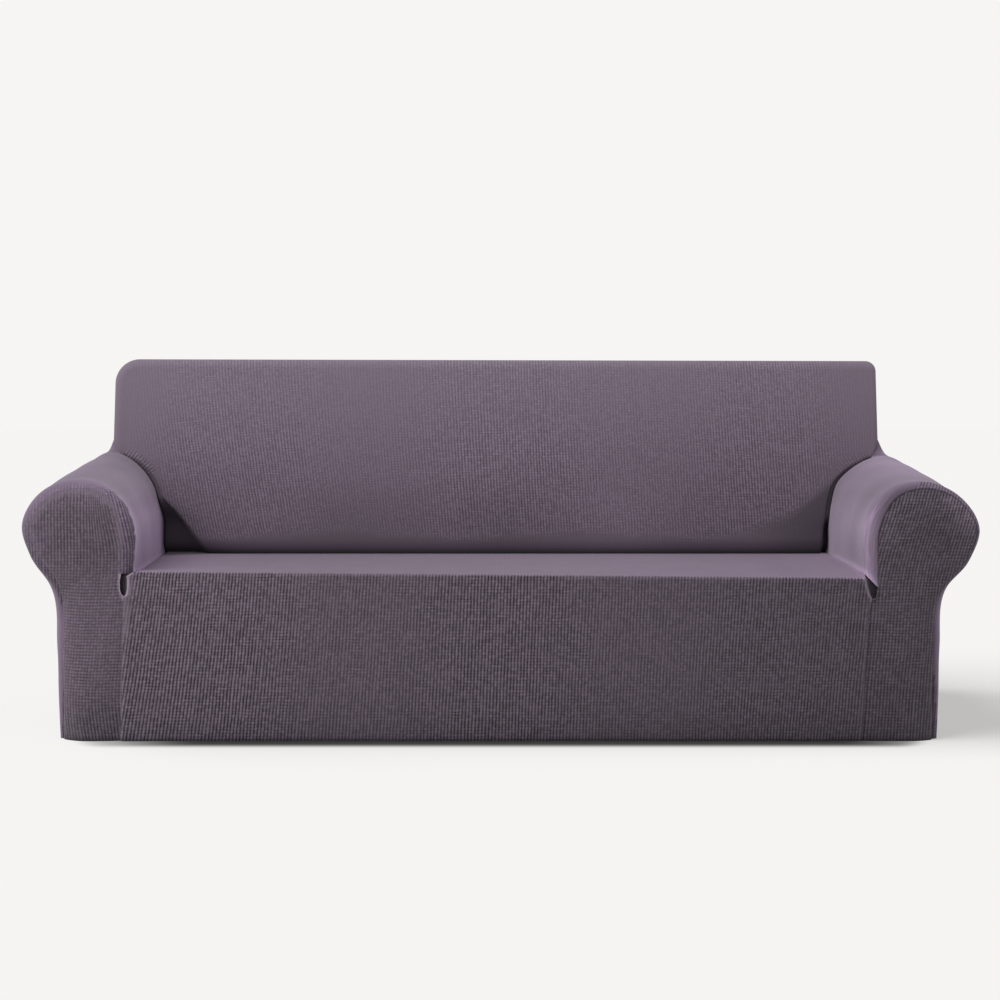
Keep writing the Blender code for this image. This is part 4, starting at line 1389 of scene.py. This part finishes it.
# Folds drawn only as painted shade: the seat's shape has none. Rows: height, width, and path.
SEAT_PAINTED_FOLDS = (
    (-0.0009, 0.010, ((-0.86, 0.06), (-0.70, 0.085), (-0.52, 0.08))),
    (0.0008, 0.012, ((-0.80, 0.02), (-0.66, 0.04), (-0.46, 0.03))),
    (-0.0006, 0.014, ((0.30, 0.07), (0.55, 0.055), (0.74, 0.07))),
)

# How dark the painted shadow of the back's foot makes it, and over what depth. A painted shade before
# it: amount and width. Painted light beside each arm, against the shade of the crease: amount and
# width. Along the front edge the cloth is darker, and shows checks: amount, the depth where they
# end, and over what depth.
SEAT_PAINTED_DARK = 0.22
SEAT_DARKENS = 0.012
SEAT_BACK_PAINTED_SHADE = (0.08, 0.05)
SIDE_PAINTED_LIGHT = {"left": (0.50, 0.010), "right": (0.30, 0.006)}
FRONT_TONE = (0.78, FRONT, 0.020)
EDGE_WEAVE = 0.55
EDGE_WEAVE_ENDS = (FRONT + 0.018, 0.014)

SEAT_KNITS = ((KNIT, KNIT_RELIEF, "cloth"), (SMALL_CHECK, CHECK_RELIEF, "cloth"))
SEAT_CLOTH = cloth_material("seat_knit", SEAT_KNITS, SEAT_COLOUR, SMOOTH_SHEEN)
seat_x, seat_y = seat_grid[..., 0], seat_grid[..., 1]
# The seat's tone below holds painted light and shade, and painted folds.
shade, width = SEAT_BACK_PAINTED_SHADE
seat_tone = stations(seat_x, SEAT_PAINTED_LIGHT) - shade * bell(seat_y - SEAT_BACK, width)
for side, column in (("left", 0), ("right", -1)):
    light, width = SIDE_PAINTED_LIGHT[side]
    seat_tone += light * bell(seat_x - seat_x[:, [column]], width)
seat_fold_shade = creases(seat_x, seat_y, SEAT_PAINTED_FOLDS)
seat_tone *= (1 + RELIEF_PAINTED_SHADE * seat_fold_shade) * from_tone(seat_y, *FRONT_TONE)
painted_seat_shadow = after(seat_y, stations(seat_x, SEAT_PAINTED_SHADOW), SEAT_DARKENS)
seat_tone *= lerp(1.0, SEAT_PAINTED_DARK, painted_seat_shadow)
seat_weave = stations(seat_x, SEAT_WEAVE) + EDGE_WEAVE * before(seat_y, *EDGE_WEAVE_ENDS)
layers = [layer(seat_grid, False, (seat_x, seat_y), seat_weave, seat_tone)]
dress("seat", layers, SEAT_CLOTH)

# ---------------------------------------------------------------- front skirt
# The skirt is jacquard, from the edge of the seat down to a plain turned hem. Its ribs start right
# under the seat's edge and fan outwards, and it is drawn flat with hardly a fold.

# Rows from the hem to the seat, a little closer together at the top, and the width of a seam's dip.
SKIRT_ROWS = 64
ROW_PACKING = 0.8
DIP_WIDTH = 0.01


def skirt_edge(side, rows):
    """The skirt's side edge at positive X: the seam, the notch's edge, then the seat's corner."""
    at_seat, seat_height = SEAT_CORNERS[side]
    top = seat_height - BEVEL
    t = np.linspace(0, 1, rows + 1)
    z = top * lerp(t, 1 - (1 - t) ** 2, ROW_PACKING)
    places, heights = zip(*SKIRT_SEAMS[side], *SKIRT_LIPS[side], (at_seat, top))
    x = np.interp(z, heights, places)
    return np.stack([x, np.full(rows + 1, FRONT), z], axis=1)


def skirt(front_edge):
    """The skirt between its edges: flat on the front, rounding back under the seat's edge."""
    sides = {side: mirrored(skirt_edge(side, SKIRT_ROWS), side) for side in SKIRT_SEAMS}
    hem = spread(sides["left"][0], sides["right"][0])
    grid = patch(hem, front_edge, sides["left"], sides["right"])
    below = front_edge[:, 2] + BEVEL - grid[..., 2]
    grid[..., 1] = FRONT + nose(below)
    beside = np.minimum(grid[..., 0] - grid[:, :1, 0], grid[:, -1:, 0] - grid[..., 0])
    grid[:-1, :, 1] += SEAM_DIP * sag(beside, DIP_WIDTH)[:-1]
    grid[-1] = front_edge
    return grid


# What is turned in behind the arm fronts. Rows: how far back, and how far out.
ALLOWANCE = ((0.010, 0.0), (0.018, 0.010), (0.020, 0.028))
# Its tone, for each side, is painted shade: what shows of it in a notch lies in shade.
ALLOWANCE_PAINTED_SHADE = {"left": 0.55, "right": 0.45}
SKIRT_WEAVE = (
    (-0.88, 1.0), (-0.62, 1.05), (-0.42, 0.62), (-0.24, 0.62), (-0.08, 0.95), (0.06, 1.0),
    (0.26, 0.64), (0.43, 0.58), (0.58, 0.80), (0.87, 0.80),
)
# Painted light across the skirt, falling off to the right. Rows: X, and tone.
SKIRT_PAINTED_LIGHT = ((-0.9, 0.85), (-0.4, 0.80), (0.0, 0.77), (0.28, 0.75), (0.5, 0.70), (0.87, 0.60))
SKIRT_WAVES = ((0.0010, 1.3, 0.4, 0.2), (0.0007, 2.9, -0.7, 0.7), (0.0004, 6.1, 1.1, 0.4))
SKIRT_CREASES = (
    (-0.0022, 0.006, ((-0.893, 0.338), (-0.896, 0.26), (-0.900, 0.16))),
    (0.0018, 0.006, ((-0.884, 0.345), (-0.882, 0.28), (-0.888, 0.19))),
    (-0.0014, 0.005, ((-0.876, 0.33), (-0.868, 0.27))),
    (0.0012, 0.007, ((-0.868, 0.37), (-0.855, 0.31))),
    (0.0016, 0.006, ((0.858, 0.10), (0.866, 0.01))),
    (-0.0014, 0.006, ((0.860, 0.37), (0.862, 0.24))),
)


def fan(x, z, foot, leans):
    """U of ribs that fan out: X less the lean of the rib times the height above the foot.

    Rows of leans: X, and the angle in degrees by which a rib's top leans to the right there.
    """
    places, angles = zip(*leans)
    return x - np.tan(np.radians(np.interp(x, places, angles))) * (z - foot)


def with_allowance(grid):
    """The grid with a few columns more at each side, that turn in behind the arm front."""
    sides = []
    for edge, sign in ((grid[:, 0], -1), (grid[:, -1], 1)):
        turned_in = [edge + (sign * out, back, 0.0) for back, out in ALLOWANCE]
        sides.append(np.stack(turned_in, axis=1))
    return np.concatenate([sides[0][:, ::-1], grid, sides[1]], axis=1)


SKIRT_LEANS = ((-0.9, 9.0), (-0.7, 6.5), (-0.45, 4.8), (0.0, 2.2), (0.45, 2.9), (0.87, 5.7))
# Painted light on the skirt: its tone at the hem and at the seat.
SKIRT_PAINTED_LIGHT_UP = (0.96, 1.04)

# The lip of each notch is light: how much, its width and soft edge, how far under the notch it
# starts, and over what height. Under it lies a lighter band. Rows: width, how much lighter, and
# from what height. Both lips and bands calm the checks, and the hem is darkened with painted shade.
LIP_GLOW = 1.50
LIP_WIDTH = (0.006, 0.004)
LIP_FOOT = (0.004, 0.006)
SEAM_BANDS = {"left": (0.018, 0.18, 0.16), "right": (0.006, 0.50, -0.20)}
BAND_SOFT = 0.010
BAND_GROWS = 0.15
LIP_CALM = 0.9
BAND_CALM = 0.6
HEM_PAINTED_SHADE = (0.35, 0.0, 0.006)

skirt_grid = skirt(front_edge)
skirt_x, skirt_z = skirt_grid[..., 0], skirt_grid[..., 2]
relief = creases(skirt_x, skirt_z, SKIRT_CREASES) + waves(skirt_x, skirt_z, SKIRT_WAVES)
skirt_grid = with_allowance(pushed(skirt_grid, relief * free_hem(skirt_grid, CLOSED_ROWS), False))
skirt_x, skirt_z = skirt_grid[..., 0], skirt_grid[..., 2]
skirt_tone = stations(skirt_x, SKIRT_PAINTED_LIGHT) * lerp(*SKIRT_PAINTED_LIGHT_UP, skirt_z / SEAT_TOP)
skirt_weave = stations(skirt_x, SKIRT_WEAVE)
for side, sign, column in (("left", -1, len(ALLOWANCE)), ("right", 1, -1 - len(ALLOWANCE))):
    band_width, band_light, band_foot = SEAM_BANDS[side]
    _, foot = SKIRT_SEAMS[side][-1]
    below, run = LIP_FOOT
    away = sign * (skirt_x[:, [column]] - skirt_x)
    lip = within(away, *LIP_WIDTH) * after(skirt_z, foot - below, run)
    beneath = within(away, band_width, BAND_SOFT) * after(skirt_z, band_foot, BAND_GROWS)
    beneath *= 1 - lip
    skirt_tone *= 1 + LIP_GLOW * lip + band_light * beneath
    skirt_weave *= (1 - LIP_CALM * lip) * (1 - BAND_CALM * beneath)
skirt_tone *= from_tone(skirt_z, *HEM_PAINTED_SHADE)
skirt_tone[:, : len(ALLOWANCE)] = ALLOWANCE_PAINTED_SHADE["left"]
skirt_tone[:, -len(ALLOWANCE) :] = ALLOWANCE_PAINTED_SHADE["right"]
skirt_u = fan(skirt_x, skirt_z, SEAT_TOP, SKIRT_LEANS)
layers = [layer(skirt_grid, False, (skirt_u, skirt_z), skirt_weave, skirt_tone)]
dress("front_skirt", layers, JACQUARD_CLOTH)

# ---------------------------------------------------------------- arm fronts
# The front of each arm is one shaped panel of jacquard: the face of the roll and the upright under
# it. Its seam runs round the roll, and its inner edge joins the skirt below an open notch.

# Rows of the seam on each side of the crest that make the panel's top. The face is crowned, and
# flat again over the top sixth. Then the rows of the skirt's seam and of the notch.
FACE_TOP = 3 * FINE
FACE_CROWN = 0.007
CROWN_RUN = 6
SEAM_ROWS = 4 * FINE
NOTCH_ROWS = 3 * FINE


def evenly(points, count):
    """Points at even distances along a path of straight lines, both ends included."""
    points = np.asarray(points, float)
    run = run_of(points)
    at = np.linspace(0, run[-1], count + 1)
    return np.stack([np.interp(at, run, points[:, 0]), np.interp(at, run, points[:, 1])], axis=1)


def front_inner_edge(side, along):
    """The arm front's inner edge at positive X: skirt seam, notch, then the seam of the roll."""
    places, heights = zip(*SKIRT_SEAMS[side])
    z = np.linspace(0, heights[-1], SEAM_ROWS + 1)[:-1]
    seam = np.stack([np.interp(z, heights, places), z], axis=1)
    corner = (along[0, 0, 0], along[0, 0, 2])
    notch = evenly((SKIRT_SEAMS[side][-1], *FRONT_LIPS[side], corner), NOTCH_ROWS)[:-1]
    return points_at(np.vstack([seam, notch]), FRONT + SEAM_DIP)


def arm_front(side, along):
    """The face of the roll and the upright, as a patch inside the seam, a little crowned."""
    seam = along[:, 0]
    outer = seam[CREST + FACE_TOP :][::-1]
    over = seam[CREST - FACE_TOP : CREST + FACE_TOP + 1][::-1]
    inner = np.vstack([front_inner_edge(side, along), seam[: CREST - FACE_TOP + 1]])
    hem = lerp(outer[0], inner[0], np.linspace(0, 1, len(over))[:, None])
    grid = patch(hem, over, outer, inner)
    body = grid[:-1, 1:-1]
    across = np.linspace(0, 1, len(over))[None, 1:-1]
    up = np.linspace(0, 1, len(outer))[:-1, None]
    crown = FACE_CROWN * 4 * across * (1 - across) * ease(CROWN_RUN * (1 - up))
    body[..., 1] = ARM_FACE + corner_setback(body[..., 0], body[..., 2]) - crown
    return grid


# How the arm fronts show, from the hem up. Rows: height, tone with painted light and shade, strength
# of weave, share of bars.
FRONT_FINISH = {
    "left": (
        (0.0, 0.60, 0.75, 0.0), (0.07, 0.70, 0.70, 0.1), (0.12, 0.82, 0.60, 0.6), (0.25, 0.90, 0.50, 0.8),
        (0.36, 0.90, 0.50, 0.8), (0.43, 0.84, 0.60, 0.2), (0.50, 0.80, 0.65, 0.0), (0.64, 0.86, 0.60, 0.0),
    ),
    "right": (
        (0.0, 0.52, 0.80, 0.1), (0.12, 0.55, 0.80, 0.1), (0.30, 0.61, 0.75, 0.3), (0.42, 0.61, 0.80, 0.2),
        (0.64, 0.70, 0.90, 0.1),
    ),
}
# Width of the margin inside the seam round the roll, over which the checks come in, the share of
# its edge that lies beyond, its tone, and how calm it is. Under a height it is fainter.
SOFT_MARGIN = {"left": 0.014, "right": 0.002}
MARGIN_SHARE = 0.4
MARGIN_TONE = {"left": 1.45, "right": 0.30}
MARGIN_CALM = 0.65
MARGIN_FAINT = (0.35, 0.44, 0.06)
# Painted highlights and painted shades. Rows: how much lighter, X, height, and width.
FRONT_PAINTED_LIGHTS = {
    "left": ((0.20, -0.975, 0.590, 0.040), (-0.13, -0.975, 0.440, 0.050), (-0.16, -1.050, 0.370, 0.040)),
    "right": (
        (0.75, 1.082, 0.580, 0.028), (0.75, 1.125, 0.535, 0.030), (-0.20, 1.040, 0.490, 0.050),
        (0.10, 0.920, 0.500, 0.040),
    ),
}
# The lip of each notch: how light, its width, and how calm.
LIP_LIGHT = {"left": 1.8, "right": 0.0}
LIP_REACH = 0.0035
NOTCH_CALM = 0.8
FRONT_CREASES = {
    "left": (
        (-0.0016, 0.005, ((-0.912, 0.44), (-0.910, 0.39), (-0.908, 0.35))),
        (0.0012, 0.005, ((-0.920, 0.43), (-0.918, 0.36), (-0.912, 0.30))),
        (-0.0012, 0.006, ((-0.925, 0.35), (-0.910, 0.27))),
        (-0.0020, 0.012, ((-1.09, 0.40), (-1.06, 0.375), (-1.01, 0.372))),
        (0.0014, 0.010, ((-1.03, 0.05), (-0.96, 0.015))),
    ),
    "right": (
        (-0.0016, 0.005, ((0.886, 0.40), (0.884, 0.35), (0.880, 0.30))),
        (-0.0018, 0.012, ((1.07, 0.39), (1.02, 0.375))),
        (0.0012, 0.006, ((0.874, 0.12), (0.868, 0.02))),
    ),
}
FRONT_WAVES = ((0.0009, 4.3, 2.1, 0.3), (0.0006, 7.9, -3.3, 0.1))
for side in SKIRT_SEAMS:
    grid = mirrored(arm_front(side, plain[side][0]), side)
    x, z = grid[..., 0], grid[..., 2]
    turned = side == "right"
    relief = creases(x, z, FRONT_CREASES[side]) + waves(x, z, FRONT_WAVES)
    shaped = pushed(grid, relief * free_hem(grid, CLOSED_ROWS), turned)
    heights, *finish = zip(*FRONT_FINISH[side])
    tone, weave, bar_share = (np.interp(z, heights, values) for values in finish)
    soft = SOFT_MARGIN[side]
    away, place = beside_line(x, z, arms[side][0][:, 0][:, [0, 2]])
    away += waves(away, place, RAGGED) * soft / SOFT_MARGIN["left"]
    margin = within(away, soft, soft, MARGIN_SHARE) * from_tone(z, *MARGIN_FAINT)
    tone *= lerp(1.0, MARGIN_TONE[side], margin)
    weave *= 1 - MARGIN_CALM * margin
    # Painted highlights and shades on the arm front.
    for amount, at_x, at_z, width in FRONT_PAINTED_LIGHTS[side]:
        tone *= 1 + amount * bell(np.hypot(x - at_x, z - at_z), width)
    notch_edge = grid[SEAM_ROWS : SEAM_ROWS + NOTCH_ROWS, -1][:, [0, 2]]
    lip = bell(beside_line(x, z, notch_edge)[0], LIP_REACH)
    # A light lip round the notch, and painted shade along the hem.
    tone *= (1 + LIP_LIGHT[side] * lip) * from_tone(z, *HEM_PAINTED_SHADE)
    weave *= 1 - NOTCH_CALM * lip
    layers = [layer(shaped, turned, front_places(side, x, z), weave, tone, bar_share)]
    dress("arm_front_" + side, layers, JACQUARD_CLOTH)
